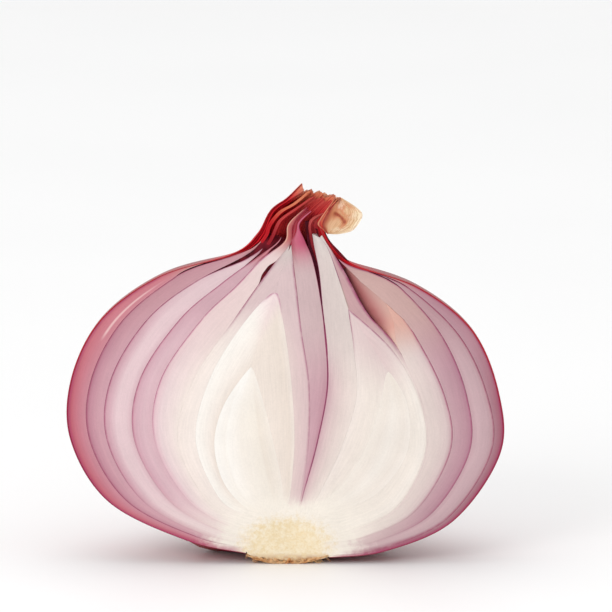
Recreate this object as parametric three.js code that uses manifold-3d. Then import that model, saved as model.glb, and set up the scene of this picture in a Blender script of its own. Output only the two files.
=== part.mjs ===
// Half of a red onion, cut lengthwise through the neck and the root plate, standing on its underside.
// Millimetres, +Z up. The flat cut face looks along -Y, and the rounded outside is behind it.
import * as THREE from "three";
import Module from "manifold-3d";
import { mergeVertices } from "three/addons/utils/BufferGeometryUtils.js";

const wasm = await Module();
wasm.setup();
const { lerp, smoothstep } = THREE.MathUtils;

// Driving dimensions
const DEPTH_RATIO = 0.88; // depth behind the cut against half the bulb's width
const LEFT_HEART_RATIO = 1.06; // the same for the left heart and its own scales
const RIGHT_HEART_RATIO = 1.36; // and for the right heart, which is narrower
const GAP = 0.3; // free space between neighbouring pieces
const SKIN_THICKNESS = 0.7; // papery skin
const SHEATH_THICKNESS = 0.6; // a scale where it has dried to a sheath in the neck
const FLESH_ENDS = 5.6; // station from which a scale thins
const SHEATH_STARTS = 7.6; // station from which it is a dry sheath
const FLESH_LIMIT = 12; // more than the thickest scale
const REST_DROP = 4.7; // how far the underside is flattened to rest behind the root plate
const REST_FADES = 26; // height at which the flattening has faded out
const REST_DEPTHS = [2, 11]; // depth behind the cut where the flattening starts and where it is full
const REST_WIDTHS = [11, 29]; // distance to the side where it is still full and where it has ended
const UNDERSIDE_CURVE = 0.0109; // the round underside rises by this times the square of the distance out
const HEART_DROP_SHARE = 0.75; // the hearts follow the flattening by this share
const HEART_REST_FADES = 30; // height at which the hearts stop following it

// Outlines in the cut plane, as x and z at stations from the root plate (0), over the belly (3 and 4) and
// the shoulder (6) to the throat (7) and the neck (8 to 10). A smooth curve runs through each.
const SKIN_LEFT = [
  [-7.2, 1.9], [-17.5, 4.8], [-31.3, 11.9], [-38.3, 22.8], [-38.3, 33.8], [-32.8, 44.7],
  [-22.5, 52.6], [-9.5, 56.9], [-4.7, 60.6], [-2, 65.2], [3.2, 68.4],
];
const SKIN_RIGHT = [
  [8.1, 1.1], [18, 2.6], [29.3, 8.2], [38.2, 20.6], [38.3, 31.5], [33.3, 42.7],
  [23.4, 50.7], [12.1, 55.2], [8.1, 59.1], [6.1, 62.5], [9.2, 65.5],
];
const WALL_INSIDE_LEFT = [
  [-5.6, 6.1], [-9.7, 6.8], [-17.6, 11.9], [-23.6, 22.8], [-22.3, 33.8], [-14.9, 44.7],
  [-8.8, 51.1], [-4.3, 55.9], [-0.2, 59.3], [0.9, 62.6], [3.8, 65.2],
];
const WALL_INSIDE_RIGHT = [
  [6.6, 4.9], [12.6, 6], [20.7, 10.5], [25.6, 20.6], [24.6, 30.1], [20, 39.6],
  [16.7, 47.5], [11.2, 53.4], [7.4, 57.5], [4.7, 61.5], [7.6, 66.1],
];
const LEFT_SCALE_1_RIGHT = [
  [1.6, 9.4], [2.2, 10.4], [3.1, 13.2], [5.4, 22.4], [7.2, 32.9], [6.8, 42.9],
  [5.9, 50.2], [4.7, 55.9], [3.4, 59.7], [3.1, 62.6], [4.5, 64.4],
];
const LEFT_SCALE_2_LEFT = [
  [-4.6, 7.4], [-8, 8.3], [-14.2, 12.1], [-19.4, 22.8], [-16.6, 33.8], [-9.4, 44.7],
  [-5.6, 50.2], [-2.3, 55], [0.9, 59.3], [1.8, 62.6], [4, 64.8],
];
const LEFT_SCALE_2_RIGHT = [
  [0.6, 9.6], [1.2, 10.6], [2.1, 13.3], [4.1, 22.4], [4.1, 32.9], [2.9, 42.9],
  [2.2, 50.2], [1.6, 55.7], [1.4, 59.7], [2.2, 62.6], [4.1, 64.6],
];
const LEFT_HEART_LEFT = [
  [-3.5, 8.6], [-6.3, 9.6], [-11.9, 12.8], [-16.9, 22.8], [-14.2, 33.8], [-8.1, 43.8],
  [-2.2, 49.9], [-0.2, 54.8], [1.1, 58.9],
];
const LEFT_HEART_RIGHT = [
  [-0.5, 9.7], [0, 10.7], [0.9, 13.2], [2, 22.8], [1.3, 33.8], [0, 43.8],
  [-1.6, 49.9], [0.2, 54.8], [1.4, 58.9],
];
const LEFT_CORE_LEFT = [
  [-2.7, 9.7], [-5.2, 11], [-10.3, 14.2], [-13, 21.9], [-11.2, 30.5], [-6.7, 36.1], [-2.1, 49.5],
];
const LEFT_CORE_RIGHT = [
  [-1.5, 10.3], [-1, 11.5], [-0.8, 14.2], [-1.8, 21.9], [-3.8, 30.5], [-6, 36.1], [-1.7, 49.5],
];
const RIGHT_SCALE_1_LEFT = [
  [3.3, 8.8], [3.4, 10.3], [4, 13.3], [6.3, 21.5], [8, 31.5], [8, 39.2],
  [7.2, 46.9], [6.3, 53.4], [5.4, 58], [5.6, 60.6],
];
const RIGHT_SCALE_1_RIGHT = [
  [6.2, 5.7], [12, 6.8], [20, 11.4], [25, 20.6], [23.9, 30.1], [19.1, 39.4],
  [14.6, 45.6], [10.3, 53.4], [7.6, 57.5], [6.1, 60.4],
];
const RIGHT_HEART_LEFT = [
  [4.4, 9.2], [5, 10.7], [6.8, 13.5], [10.1, 21.5], [12.1, 31], [11.9, 40.2],
  [11.2, 46.7], [8.6, 53.4], [6.4, 58], [5.7, 60.2],
];
const RIGHT_HEART_RIGHT = [
  [5.9, 7.1], [11, 8.1], [18.9, 12.2], [24, 20.6], [22.9, 29.7], [18, 38.8],
  [11.6, 46.7], [9, 53.4], [6.7, 58], [6, 60.2],
];
const RIGHT_CORE_LEFT = [
  [5.8, 10], [7, 11.5], [10.8, 15.1], [14.4, 21], [16.6, 28.3], [18.4, 35.2], [13.9, 43.8],
];
const RIGHT_CORE_RIGHT = [
  [6.5, 9], [10, 9.8], [17, 13.4], [22, 20.6], [22.1, 29.2], [19.1, 35.2], [14.3, 43.8],
];

// Where the common wall is split into its scales, as shares of its thickness at the root, belly and throat
const ROOT_STATION = 0;
const BELLY_STATION = 3.5;
const THROAT_STATION = 7;
const SPLITS = [
  { left: [0.23, 0.175, 0.21], right: [0.2, 0.08, 0.15] },
  { left: [0.46, 0.41, 0.45], right: [0.48, 0.39, 0.3] },
  { left: [0.74, 0.765, 0.75], right: [0.75, 0.67, 0.8] },
];

// The station at which each scale ends at the left and the right cut edge
const SKIN_TIPS = { left: 10, right: 10 };
const SCALE_TIPS = [
  { left: 9.5, right: 6.4 },
  { left: 9, right: 6.35 },
  { left: 7.6, right: 6.9 },
  { left: 8.2, right: 6.5 },
];
const LEFT_SCALE_1_TIPS = { left: 10, right: 10 };
const LEFT_SCALE_2_TIPS = { left: 7.8, right: 7.8 };
const RIGHT_SCALE_1_TIPS = { left: 8.9, right: 8.9 };
const HEART_TIPS = { left: 5.9, right: 5.9 };
const CORE_TIPS = { left: 5, right: 5 };

// Grid steps along a scale, up to the shoulder and on to its tip, and round it
const SHOULDER_STATION = 6;
const WALL_GRID = { body: 12, neck: 8, round: 12 };
const HEART_GRID = { body: 12, neck: 6, round: 8 };
const CORE_GRID = { body: 10, neck: 0, round: 8 };

// Root plate: a half dome of pale stem on a brown crust that carries the stubs of the cut roots
const PLATE_CENTRE_X = 0.5;
const PLATE_RADIUS = 5.9;
const PLATE_BOTTOM = 1.6;
const PLATE_TOP = 8.4;
const PLATE_SWEEP = 1.49; // angle that the dome rises through, just short of its pole, in radians
const PLATE_GRID = { along: 7, round: 12 };
const CRUST_RADIUS = 6.3;
const CRUST_HEIGHT = 1.2;
const CRUST_WAVES = 9;
const CRUST_WAVE_HEIGHT = 0.25;
const CRUST_GRID = { round: 28 };
const STUB_COUNT = 14;
const STUB_SEED = 7;
const STUB_RADIUS = 0.42;
const STUB_TIP_RADIUS = 0.21;
const STUB_LENGTHS = [1, 1.6]; // shortest and longest, outside the crust
const STUB_SUNK = 1.4; // length of a stub inside the crust
const STUB_SIDES = 6;
const STUB_ANGLES = [0.11, 0.95]; // how far round from either cut edge the stubs stand, in radians
const STUB_TURN = 0.3; // how far a stub turns to the side, in radians
const STUB_LIFT = 0.05; // clear of the surface that the crust stands on

// Dry end of the neck: a curled flap beside the right edge of the skin
const FLAP_EDGE = [[8.9, 60.6], [12.1, 61.4], [13.9, 64.5], [10.9, 67]];
const FLAP_STATIONS = [8.5, 10];
const FLAP_THICKNESS = 0.8;
const FLAP_CLEAR = 0.45; // sideways from the skin's edge
const FLAP_BULGE = 1.5; // how far the flap bows back halfway up
const FLAP_END_SHARE = 0.4; // share of that at its upper and lower end
const FLAP_GRID = { along: 10, across: 8 };

const material = (color, roughness) => new THREE.MeshStandardMaterial({ color, roughness, metalness: 0 });
const materials = {
  skin: material("#9c1230", 0.4),
  outer: material("#c9829a", 0.45),
  mauve: material("#d9b3c8", 0.45),
  pale: material("#ecdde3", 0.45),
  heart: material("#f3efe0", 0.4),
  core: material("#f6f4e8", 0.4),
  plate: material("#e9dcae", 0.8),
  crust: material("#8a5f36", 0.95),
  dryTip: material("#d3ae84", 0.85),
};

function outline(points) {
  const curve = new THREE.SplineCurve(points.map(([x, z]) => new THREE.Vector2(x, z)));
  const last = points.length - 1;
  return (station) => curve.getPoint(station / last);
}

const skinLeft = outline(SKIN_LEFT);
const skinRight = outline(SKIN_RIGHT);
const wallInsideLeft = outline(WALL_INSIDE_LEFT);
const wallInsideRight = outline(WALL_INSIDE_RIGHT);
const WALL_OUTLINES = { left: [skinLeft, wallInsideLeft], right: [skinRight, wallInsideRight] };

// Half an ellipse from the right cut edge (angle 0) through the back to the left one (angle pi).
function ringPoint(left, right, depthRatio, angle) {
  const centre = left.clone().add(right).multiplyScalar(0.5);
  const half = right.clone().sub(left).multiplyScalar(0.5);
  const depth = depthRatio * half.length() * Math.sin(angle);
  return new THREE.Vector3(centre.x + half.x * Math.cos(angle), depth, centre.y + half.y * Math.cos(angle));
}

// How far a point sinks where the underside is flattened, from the height of the round skin there.
function restDrop(x, y, skinHeight) {
  const fade = 1 - smoothstep(skinHeight, REST_DROP, REST_FADES);
  const reach = smoothstep(y, ...REST_DEPTHS) * (1 - smoothstep(Math.abs(x), ...REST_WIDTHS));
  return Math.min(skinHeight, REST_DROP) * fade * reach;
}

// A share given at root, belly and throat, at any station between them.
function shareAt(shares, station) {
  if (station < BELLY_STATION) {
    return lerp(shares[0], shares[1], (station - ROOT_STATION) / (BELLY_STATION - ROOT_STATION));
  }
  const above = (Math.min(station, THROAT_STATION) - BELLY_STATION) / (THROAT_STATION - BELLY_STATION);
  return lerp(shares[1], shares[2], above);
}

const sheathLimit = (station) => {
  const dried = smoothstep(station, FLESH_ENDS, SHEATH_STARTS);
  return lerp(FLESH_LIMIT, SHEATH_THICKNESS, Math.sqrt(dried));
};

// Depth of a split between two scales below the skin's outside, on a wall of the given thickness.
function splitDepth(shares, station, wall) {
  const first = SKIN_THICKNESS + GAP;
  return first + (wall - first) * shareAt(shares, station);
}

// The outer and inner depth of a piece of the wall on one side. Piece 0 is the skin, 1 to 4 are the scales.
function wallDepths(piece, side, station, wall) {
  if (piece === 0) {
    return { outer: 0, inner: SKIN_THICKNESS };
  }
  const above = SPLITS[piece - 2];
  const below = SPLITS[piece - 1];
  const outer = above ? splitDepth(above[side], station, wall) + GAP / 2 : SKIN_THICKNESS + GAP;
  const full = below ? splitDepth(below[side], station, wall) - GAP / 2 : wall;
  return { outer, inner: Math.min(full, outer + sheathLimit(station)) };
}

// A cut edge of a piece of the common wall, moved in from the skin's outline by the face's depth.
function wallEdge(piece, face, side, station) {
  const [outside, inside] = WALL_OUTLINES[side];
  const start = outside(station);
  const end = inside(station);
  const wall = start.distanceTo(end);
  return start.lerp(end, wallDepths(piece, side, station, wall)[face] / wall);
}

// A point on the outer or inner face of a piece of the common wall.
function wallPoint(piece, face, station, angle) {
  const left = wallEdge(piece, face, "left", station);
  const right = wallEdge(piece, face, "right", station);
  const point = ringPoint(left, right, DEPTH_RATIO, angle);
  const skin = ringPoint(skinLeft(station), skinRight(station), DEPTH_RATIO, angle);
  point.z -= restDrop(skin.x, skin.y, skin.z);
  return point;
}

// A point on a ring inside the wall, which follows the flattened underside.
function heartPoint(left, right, depthRatio, angle) {
  const point = ringPoint(left, right, depthRatio, angle);
  const below = UNDERSIDE_CURVE * (point.x ** 2 + (point.y / DEPTH_RATIO) ** 2);
  const fade = 1 - smoothstep(point.z, 0, HEART_REST_FADES);
  point.z -= HEART_DROP_SHARE * fade * restDrop(point.x, point.y, below);
  return point;
}

// The left outline of the first scale inside the wall, a gap away from the wall.
function clearOfWall(inside) {
  return (station) => {
    const edge = wallInsideLeft(station);
    const target = inside(station);
    return edge.lerp(target, GAP / edge.distanceTo(target));
  };
}

// The faces of a scale between its own pair of outlines and the next pair inside it.
function nestedFaces(pair, nextPair, depthRatio) {
  const inward = (from, to, station) => {
    const room = from.distanceTo(to);
    const thickness = Math.min(room - GAP, sheathLimit(station));
    return from.clone().lerp(to, thickness / room);
  };
  return {
    outer: (station, angle) => heartPoint(pair.left(station), pair.right(station), depthRatio, angle),
    inner: (station, angle) => {
      const left = inward(pair.left(station), nextPair.left(station), station);
      const right = inward(pair.right(station), nextPair.right(station), station);
      return heartPoint(left, right, depthRatio, angle);
    },
  };
}

// A closed body from a stack of closed loops with equal point counts, each anticlockwise from above.
// Walls join neighbouring loops, and a strip between a loop's two halves closes each end. Where the second
// half runs back beside the first, its squares are split along the same diagonal.
function closedBody(loops, runsBack = true) {
  const count = loops[0].length;
  const positions = loops.flat().flatMap((point) => [point.x, point.y, point.z]);
  const faces = [];
  for (let row = 0; row < loops.length - 1; row += 1) {
    for (let column = 0; column < count; column += 1) {
      const next = (column + 1) % count;
      const a = row * count + column;
      const b = row * count + next;
      if (runsBack && column >= count / 2) {
        faces.push(a, b, a + count, b, b + count, a + count);
      } else {
        faces.push(a, b, b + count, a, b + count, a + count);
      }
    }
  }
  const top = (loops.length - 1) * count;
  for (let column = 0; column + 1 < count - 1 - column; column += 1) {
    const across = count - 1 - column;
    faces.push(column, across, column + 1);
    faces.push(top + column, top + column + 1, top + across);
    if (column + 1 < across - 1) {
      faces.push(column + 1, across, across - 1);
      faces.push(top + column + 1, top + across - 1, top + across);
    }
  }
  const geometry = new THREE.BufferGeometry();
  geometry.setAttribute("position", new THREE.Float32BufferAttribute(positions, 3));
  geometry.setIndex(faces);
  return geometry;
}

// The station of a grid row. Neighbouring scales share their rows up to the shoulder, and each has its own
// from there to its tip, which runs from the right cut edge through the back to the left one.
function stationAt(tips, grid, row, angle) {
  const tip = lerp(tips.right, tips.left, (1 - Math.cos(angle)) / 2);
  const shoulder = Math.min(SHOULDER_STATION, tip);
  if (row <= grid.body) {
    return (shoulder * row) / grid.body;
  }
  return lerp(shoulder, tip, (row - grid.body) / grid.neck);
}

function ringAngles(grid) {
  return Array.from({ length: grid.round + 1 }, (_, step) => (Math.PI * step) / grid.round);
}

// A half shell: each loop runs round the outer face from right to left and back along the inner face.
function shellBody(faces, tips, grid) {
  const loops = [];
  const rows = tips.left > SHOULDER_STATION ? grid.body + grid.neck : grid.body;
  for (let row = 0; row <= rows; row += 1) {
    const angles = ringAngles(grid);
    const at = (face) => (angle) => face(stationAt(tips, grid, row, angle), angle);
    loops.push([...angles.map(at(faces.outer)), ...angles.reverse().map(at(faces.inner))]);
  }
  return closedBody(loops);
}

// A solid half body: each loop runs round the outside, and the cut face closes it.
function solidBody(face, tips, grid) {
  const loops = [];
  for (let row = 0; row <= grid.body; row += 1) {
    loops.push(ringAngles(grid).map((angle) => face(stationAt(tips, grid, row, angle), angle)));
  }
  return closedBody(loops, false);
}

function wallPiece(piece, tips) {
  const faces = {
    outer: (station, angle) => wallPoint(piece, "outer", station, angle),
    inner: (station, angle) => wallPoint(piece, "inner", station, angle),
  };
  return shellBody(faces, tips, WALL_GRID);
}

function rootPlate() {
  const loops = [];
  for (let row = 0; row <= PLATE_GRID.along; row += 1) {
    const rise = (PLATE_SWEEP * row) / PLATE_GRID.along;
    const radius = PLATE_RADIUS * Math.cos(rise);
    const height = lerp(PLATE_BOTTOM, PLATE_TOP, Math.sin(rise));
    const left = new THREE.Vector2(PLATE_CENTRE_X - radius, height);
    const right = new THREE.Vector2(PLATE_CENTRE_X + radius, height);
    loops.push(ringAngles(PLATE_GRID).map((angle) => ringPoint(left, right, DEPTH_RATIO, angle)));
  }
  return closedBody(loops, false);
}

function toSolid(geometry) {
  const bare = geometry.clone();
  bare.deleteAttribute("normal");
  bare.deleteAttribute("uv");
  const merged = mergeVertices(bare);
  const vertProperties = new Float32Array(merged.attributes.position.array);
  const triVerts = new Uint32Array(merged.index.array);
  return new wasm.Manifold(new wasm.Mesh({ numProp: 3, vertProperties, triVerts }));
}

function toGeometry(solid) {
  const mesh = solid.getMesh();
  const geometry = new THREE.BufferGeometry();
  geometry.setAttribute("position", new THREE.BufferAttribute(mesh.vertProperties, 3));
  geometry.setIndex(new THREE.BufferAttribute(mesh.triVerts, 1));
  return geometry;
}

// Repeatable draws between 0 and 1.
function seededDraws(seed) {
  const multiplier = 16807;
  const modulus = 2 ** 31 - 1;
  let state = seed;
  return () => {
    state = (state * multiplier) % modulus;
    return state / modulus;
  };
}

// The crust's rim waves in and out, and root stubs lie along its two sides, close to the cut.
function rootCrust() {
  const rim = (angle, height) => {
    const radius = CRUST_RADIUS + CRUST_WAVE_HEIGHT * Math.sin(CRUST_WAVES * angle);
    return new THREE.Vector3(
      PLATE_CENTRE_X + radius * Math.cos(angle),
      DEPTH_RATIO * radius * Math.sin(angle),
      height,
    );
  };
  const heights = [0, CRUST_HEIGHT / 2, CRUST_HEIGHT];
  const loops = heights.map((height) => ringAngles(CRUST_GRID).map((angle) => rim(angle, height)));
  const draw = seededDraws(STUB_SEED);
  let crust = toSolid(closedBody(loops, false));
  for (let stub = 0; stub < STUB_COUNT; stub += 1) {
    const fromEdge = lerp(...STUB_ANGLES, draw());
    const angle = stub % 2 ? fromEdge : Math.PI - fromEdge;
    const length = STUB_SUNK + lerp(...STUB_LENGTHS, draw());
    const shape = new THREE.CylinderGeometry(STUB_TIP_RADIUS, STUB_RADIUS, length, STUB_SIDES);
    shape.translate(0, length / 2 - STUB_SUNK, 0);
    shape.rotateZ(angle - Math.PI / 2 + STUB_TURN * (draw() - 0.5));
    const foot = rim(angle, STUB_RADIUS + STUB_LIFT);
    shape.translate(foot.x, foot.y, foot.z);
    crust = crust.add(toSolid(shape));
  }
  return toGeometry(crust);
}

// A thin curled flap between the right edge of the skin's neck and a free outer edge.
function neckTip() {
  const freeEdge = new THREE.SplineCurve(FLAP_EDGE.map(([x, z]) => new THREE.Vector2(x, z)));
  const loops = [];
  for (let row = 0; row <= FLAP_GRID.along; row += 1) {
    const up = row / FLAP_GRID.along;
    const held = skinRight(lerp(...FLAP_STATIONS, up));
    held.x += FLAP_CLEAR;
    const free = freeEdge.getPoint(up);
    const sheet = (across, offset) => {
      const point = held.clone().lerp(free, across);
      const bow = FLAP_BULGE * lerp(FLAP_END_SHARE, 1, Math.sin(Math.PI * up));
      return new THREE.Vector3(point.x, offset + bow * Math.sin(Math.PI * across), point.y);
    };
    const steps = Array.from({ length: FLAP_GRID.across + 1 }, (_, step) => step / FLAP_GRID.across);
    const front = steps.map((across) => sheet(across, 0));
    const back = steps.reverse().map((across) => sheet(across, FLAP_THICKNESS));
    loops.push([...front, ...back]);
  }
  return closedBody(loops);
}

const leftScale2 = { left: outline(LEFT_SCALE_2_LEFT), right: outline(LEFT_SCALE_2_RIGHT) };
const leftScale1 = { left: clearOfWall(leftScale2.left), right: outline(LEFT_SCALE_1_RIGHT) };
const leftHeart = { left: outline(LEFT_HEART_LEFT), right: outline(LEFT_HEART_RIGHT) };
const leftCore = { left: outline(LEFT_CORE_LEFT), right: outline(LEFT_CORE_RIGHT) };
const rightScale1 = { left: outline(RIGHT_SCALE_1_LEFT), right: outline(RIGHT_SCALE_1_RIGHT) };
const rightHeart = { left: outline(RIGHT_HEART_LEFT), right: outline(RIGHT_HEART_RIGHT) };
const rightCore = { left: outline(RIGHT_CORE_LEFT), right: outline(RIGHT_CORE_RIGHT) };

const onion = new THREE.Group();

function addPiece(name, geometry, finish) {
  geometry.computeVertexNormals();
  const mesh = new THREE.Mesh(geometry, finish);
  mesh.name = name;
  onion.add(mesh);
}

function addNested(name, pair, nextPair, ratio, tips, finish) {
  addPiece(name, shellBody(nestedFaces(pair, nextPair, ratio), tips, HEART_GRID), finish);
}

function addCore(name, pair, ratio, finish) {
  const face = (station, angle) => heartPoint(pair.left(station), pair.right(station), ratio, angle);
  addPiece(name, solidBody(face, CORE_TIPS, CORE_GRID), finish);
}

addPiece("dry_skin", wallPiece(0, SKIN_TIPS), materials.skin);
const scaleFinishes = [materials.outer, materials.mauve, materials.pale, materials.mauve];
SCALE_TIPS.forEach((tips, index) => {
  addPiece(`scale_${index + 1}`, wallPiece(index + 1, tips), scaleFinishes[index]);
});
addNested("left_scale_1", leftScale1, leftScale2, LEFT_HEART_RATIO, LEFT_SCALE_1_TIPS, materials.pale);
addNested("left_scale_2", leftScale2, leftHeart, LEFT_HEART_RATIO, LEFT_SCALE_2_TIPS, materials.pale);
addNested("left_heart", leftHeart, leftCore, LEFT_HEART_RATIO, HEART_TIPS, materials.heart);
addCore("left_core", leftCore, LEFT_HEART_RATIO, materials.core);
addNested("right_scale_1", rightScale1, rightHeart, RIGHT_HEART_RATIO, RIGHT_SCALE_1_TIPS, materials.pale);
addNested("right_heart", rightHeart, rightCore, RIGHT_HEART_RATIO, HEART_TIPS, materials.heart);
addCore("right_core", rightCore, RIGHT_HEART_RATIO, materials.core);
addPiece("root_plate", rootPlate(), materials.plate);
addPiece("root_crust", rootCrust(), materials.crust);
addPiece("neck_tip", neckTip(), materials.dryTip);

// The origin is under the middle of the half's depth, on the surface that it stands on.
const box = new THREE.Box3().setFromObject(onion);
onion.position.set(0, -box.max.y / 2, -box.min.z);

export default onion;
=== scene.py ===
import math
import bpy
import numpy as np
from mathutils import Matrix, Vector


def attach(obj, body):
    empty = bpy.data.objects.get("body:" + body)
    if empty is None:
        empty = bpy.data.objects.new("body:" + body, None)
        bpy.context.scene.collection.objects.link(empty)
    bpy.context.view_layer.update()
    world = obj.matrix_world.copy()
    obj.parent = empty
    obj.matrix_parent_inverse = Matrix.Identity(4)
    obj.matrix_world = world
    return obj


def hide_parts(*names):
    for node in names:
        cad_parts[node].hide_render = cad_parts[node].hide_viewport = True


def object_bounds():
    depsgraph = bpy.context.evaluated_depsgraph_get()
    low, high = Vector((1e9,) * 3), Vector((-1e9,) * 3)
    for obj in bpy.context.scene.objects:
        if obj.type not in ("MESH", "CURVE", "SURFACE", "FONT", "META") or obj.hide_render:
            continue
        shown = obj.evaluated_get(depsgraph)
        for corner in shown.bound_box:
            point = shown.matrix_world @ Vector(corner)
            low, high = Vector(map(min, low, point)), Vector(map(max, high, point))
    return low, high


scene = bpy.context.scene
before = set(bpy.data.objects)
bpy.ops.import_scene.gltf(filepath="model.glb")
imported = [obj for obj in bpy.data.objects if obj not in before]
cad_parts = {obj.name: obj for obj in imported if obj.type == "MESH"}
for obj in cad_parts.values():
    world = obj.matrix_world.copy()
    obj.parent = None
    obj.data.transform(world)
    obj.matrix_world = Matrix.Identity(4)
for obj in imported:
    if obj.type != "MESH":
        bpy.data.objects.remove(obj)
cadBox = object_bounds()
print("stage: frame loaded with", len(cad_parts), "nodes")

bulb = {
    "mm": 0.001,
    "cutPlane": cadBox[0].y,  # the cut face looks along -Y
    "depthRatio": 0.88,  # depth behind the cut against half the width
    "heartRatio": {"left": 1.06, "right": 1.36},  # the same for each heart
    "gap": 0.012,  # free space between neighbouring scales, mm
    "gapFrom": (0.6, 2.4),  # stations between which the gaps open
    "leastGap": 0.01,  # mm
    "leastThick": 0.01,  # mm
    "sheath": 0.4,  # thickness of a scale that has dried in the neck, mm
    "thins": (5.6, 7.6),  # stations between which a scale dries to a sheath
    "fullest": 12.0,  # more than the thickest scale, mm
    "restDrop": 4.7,  # the underside is flattened by this to rest, mm
    "restFades": 26.0,  # height at which the flattening ends, mm
    "restDepths": (2.0, 11.0),  # distances behind the cut over which it sets in, mm
    "restWidths": (11.0, 29.0),  # distances to the side over which it ends, mm
    "undersideCurve": 0.0109,  # height of the underside for a squared distance, 1/mm
    "heartDropShare": 0.75,  # how much of the flattening the hearts follow
    "heartRestFades": 30.0,  # height at which they no longer do, mm
    "shoulder": 6.0,  # station up to which neighbouring scales share their rows
    "lastStation": 10,
    "sharpAngle": 45,  # edges that turn by more stay sharp, degrees
    "tiny": 1e-6,
}

# Outlines in the cut plane: x and z in mm at stations from the root (0) over belly and shoulder to the neck.
outlines = {
    "skinLeft": [
        (-7.2, 1.9), (-17.9, 4.3), (-31.9, 11.35), (-38.75, 22.6), (-38.7, 33.9), (-33.3, 44.9),
        (-22.7, 52.8), (-9.5, 56.9), (-4.7, 60.6), (-2.0, 65.2), (3.2, 68.4),
    ],
    "skinRight": [
        (8.1, 1.1), (18.2, 2.3), (30.5, 7.9), (38.9, 20.2), (38.65, 31.5), (33.9, 42.9),
        (24.3, 50.7), (12.1, 55.2), (8.1, 59.1), (6.6, 62.6), (10.0, 67.0),
    ],
    "wallLeft": [
        (-5.6, 6.1), (-9.7, 6.8), (-17.6, 11.9), (-23.6, 22.8), (-22.5, 33.9), (-15.2, 44.8),
        (-8.8, 51.1), (-4.3, 55.9), (-0.1, 59.2), (0.6, 62.4), (3.8, 65.4),
    ],
    "wallRight": [
        (6.6, 4.9), (12.6, 6.0), (20.7, 10.5), (25.6, 20.6), (24.6, 30.1), (20.4, 40.0),
        (16.9, 48.3), (11.2, 53.8), (7.4, 57.5), (4.7, 61.5), (7.6, 66.1),
    ],
    "leftScale1Right": [
        (2.5, 9.4), (2.7, 10.4), (3.35, 13.2), (5.75, 22.4), (7.6, 32.9), (7.1, 42.9),
        (6.15, 50.2), (4.95, 55.9), (3.6, 59.3), (2.6, 62.2), (4.7, 64.6),
    ],
    "leftScale2Left": [
        (-4.6, 7.4), (-8.9, 8.0), (-14.4, 11.9), (-19.4, 22.8), (-16.6, 33.8), (-9.4, 44.7),
        (-5.6, 50.2), (-2.0, 55.1), (1.0, 58.9), (1.5, 62.2), (4.15, 64.8),
    ],
    "leftScale2Right": [
        (1.6, 9.5), (2.0, 10.5), (2.95, 13.2), (4.3, 22.4), (4.4, 32.9), (3.0, 42.9),
        (2.15, 50.2), (1.5, 55.4), (1.15, 58.9), (1.6, 62.2), (4.2, 64.7),
    ],
    "leftHeartLeft": [
        (-4.0, 8.2), (-7.6, 9.2), (-12.2, 12.6), (-16.15, 22.8), (-13.7, 33.8), (-7.8, 43.8),
        (-1.85, 49.9),
    ],
    "leftHeartRight": [
        (-0.2, 9.7), (0.3, 10.7), (0.95, 13.2), (1.7, 22.8), (1.1, 33.8), (-0.2, 43.8),
        (-1.85, 49.9),
    ],
    "leftCoreLeft": [
        (-3.6, 8.9), (-7.4, 10.6), (-11.2, 15.2), (-12.8, 22.2), (-11.0, 29.4), (-6.08, 36.3),
    ],
    "leftCoreRight": [
        (-1.1, 9.6), (-0.5, 11.4), (-0.7, 15.6), (-2.1, 22.2), (-3.8, 29.4), (-6.08, 36.3),
    ],
    "rightScale1Left": [
        (2.6, 8.8), (2.75, 10.3), (3.4, 13.3), (5.65, 21.5), (7.6, 31.5), (7.6, 39.2),
        (6.8, 46.9), (6.15, 53.4), (5.3, 58.0), (4.9, 60.6),
    ],
    "rightScale1Right": [
        (6.6, 4.9), (12.6, 6.0), (20.7, 10.5), (25.6, 20.6), (24.6, 30.1), (20.3, 39.8),
        (14.9, 46.1), (10.9, 53.4), (8.4, 57.5), (6.6, 60.4),
    ],
    "rightHeartLeft": [
        (4.4, 9.2), (5.0, 10.7), (6.6, 13.7), (10.2, 21.5), (12.9, 31.0), (12.3, 40.2),
        (11.4, 46.9),
    ],
    "rightHeartRight": [
        (6.3, 5.3), (12.3, 6.4), (20.4, 10.8), (25.3, 20.6), (24.3, 30.0), (19.5, 39.2),
        (11.4, 46.9),
    ],
    "rightCoreLeft": [
        (5.8, 10.0), (7.0, 11.5), (10.8, 15.1), (14.4, 21.0), (16.9, 28.3), (18.6, 35.4),
    ],
    "rightCoreRight": [
        (6.5, 9.0), (10.0, 9.8), (17.0, 13.4), (22.0, 20.6), (22.1, 29.2), (18.6, 35.4),
    ],
    "rootPlateLeft": [(-2.6, 0.6), (-6.7, 1.8), (-7.6, 5.4), (-5.6, 9.4), (-1.6, 11.6)],
    "rootPlateRight": [(3.4, 0.55), (8.0, 1.45), (8.0, 5.4), (6.8, 9.6), (4.2, 11.6)],
}
outlines["leftScale1Left"] = outlines["wallLeft"]

# Bodies that end in a tip: its knot, how blunt the tip is, and the seam along which what lies outside closes
# above it.
tipped = {
    "leftHeart": {"knot": 6, "blunt": 0.68, "seam": [(-1.85, 49.9), (-0.3, 54.6), (1.08, 58.85)]},
    "rightHeart": {"knot": 6, "blunt": 0.1, "seam": [(11.4, 46.9), (9.3, 53.4), (7.65, 58.0), (6.05, 60.2)]},
    "leftCore": {"knot": 5, "blunt": 0.3, "seam": [(-6.08, 36.3), (-1.85, 49.9)]},
    "rightCore": {"knot": 5, "blunt": 0.5, "seam": [(18.6, 35.4), (11.4, 46.9)]},
}
seamHalf = (0.002, 0.0)  # half the width left open along a seam, mm
tipSoftens = 1e-4  # keeps the rounding of a tip finite

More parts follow.
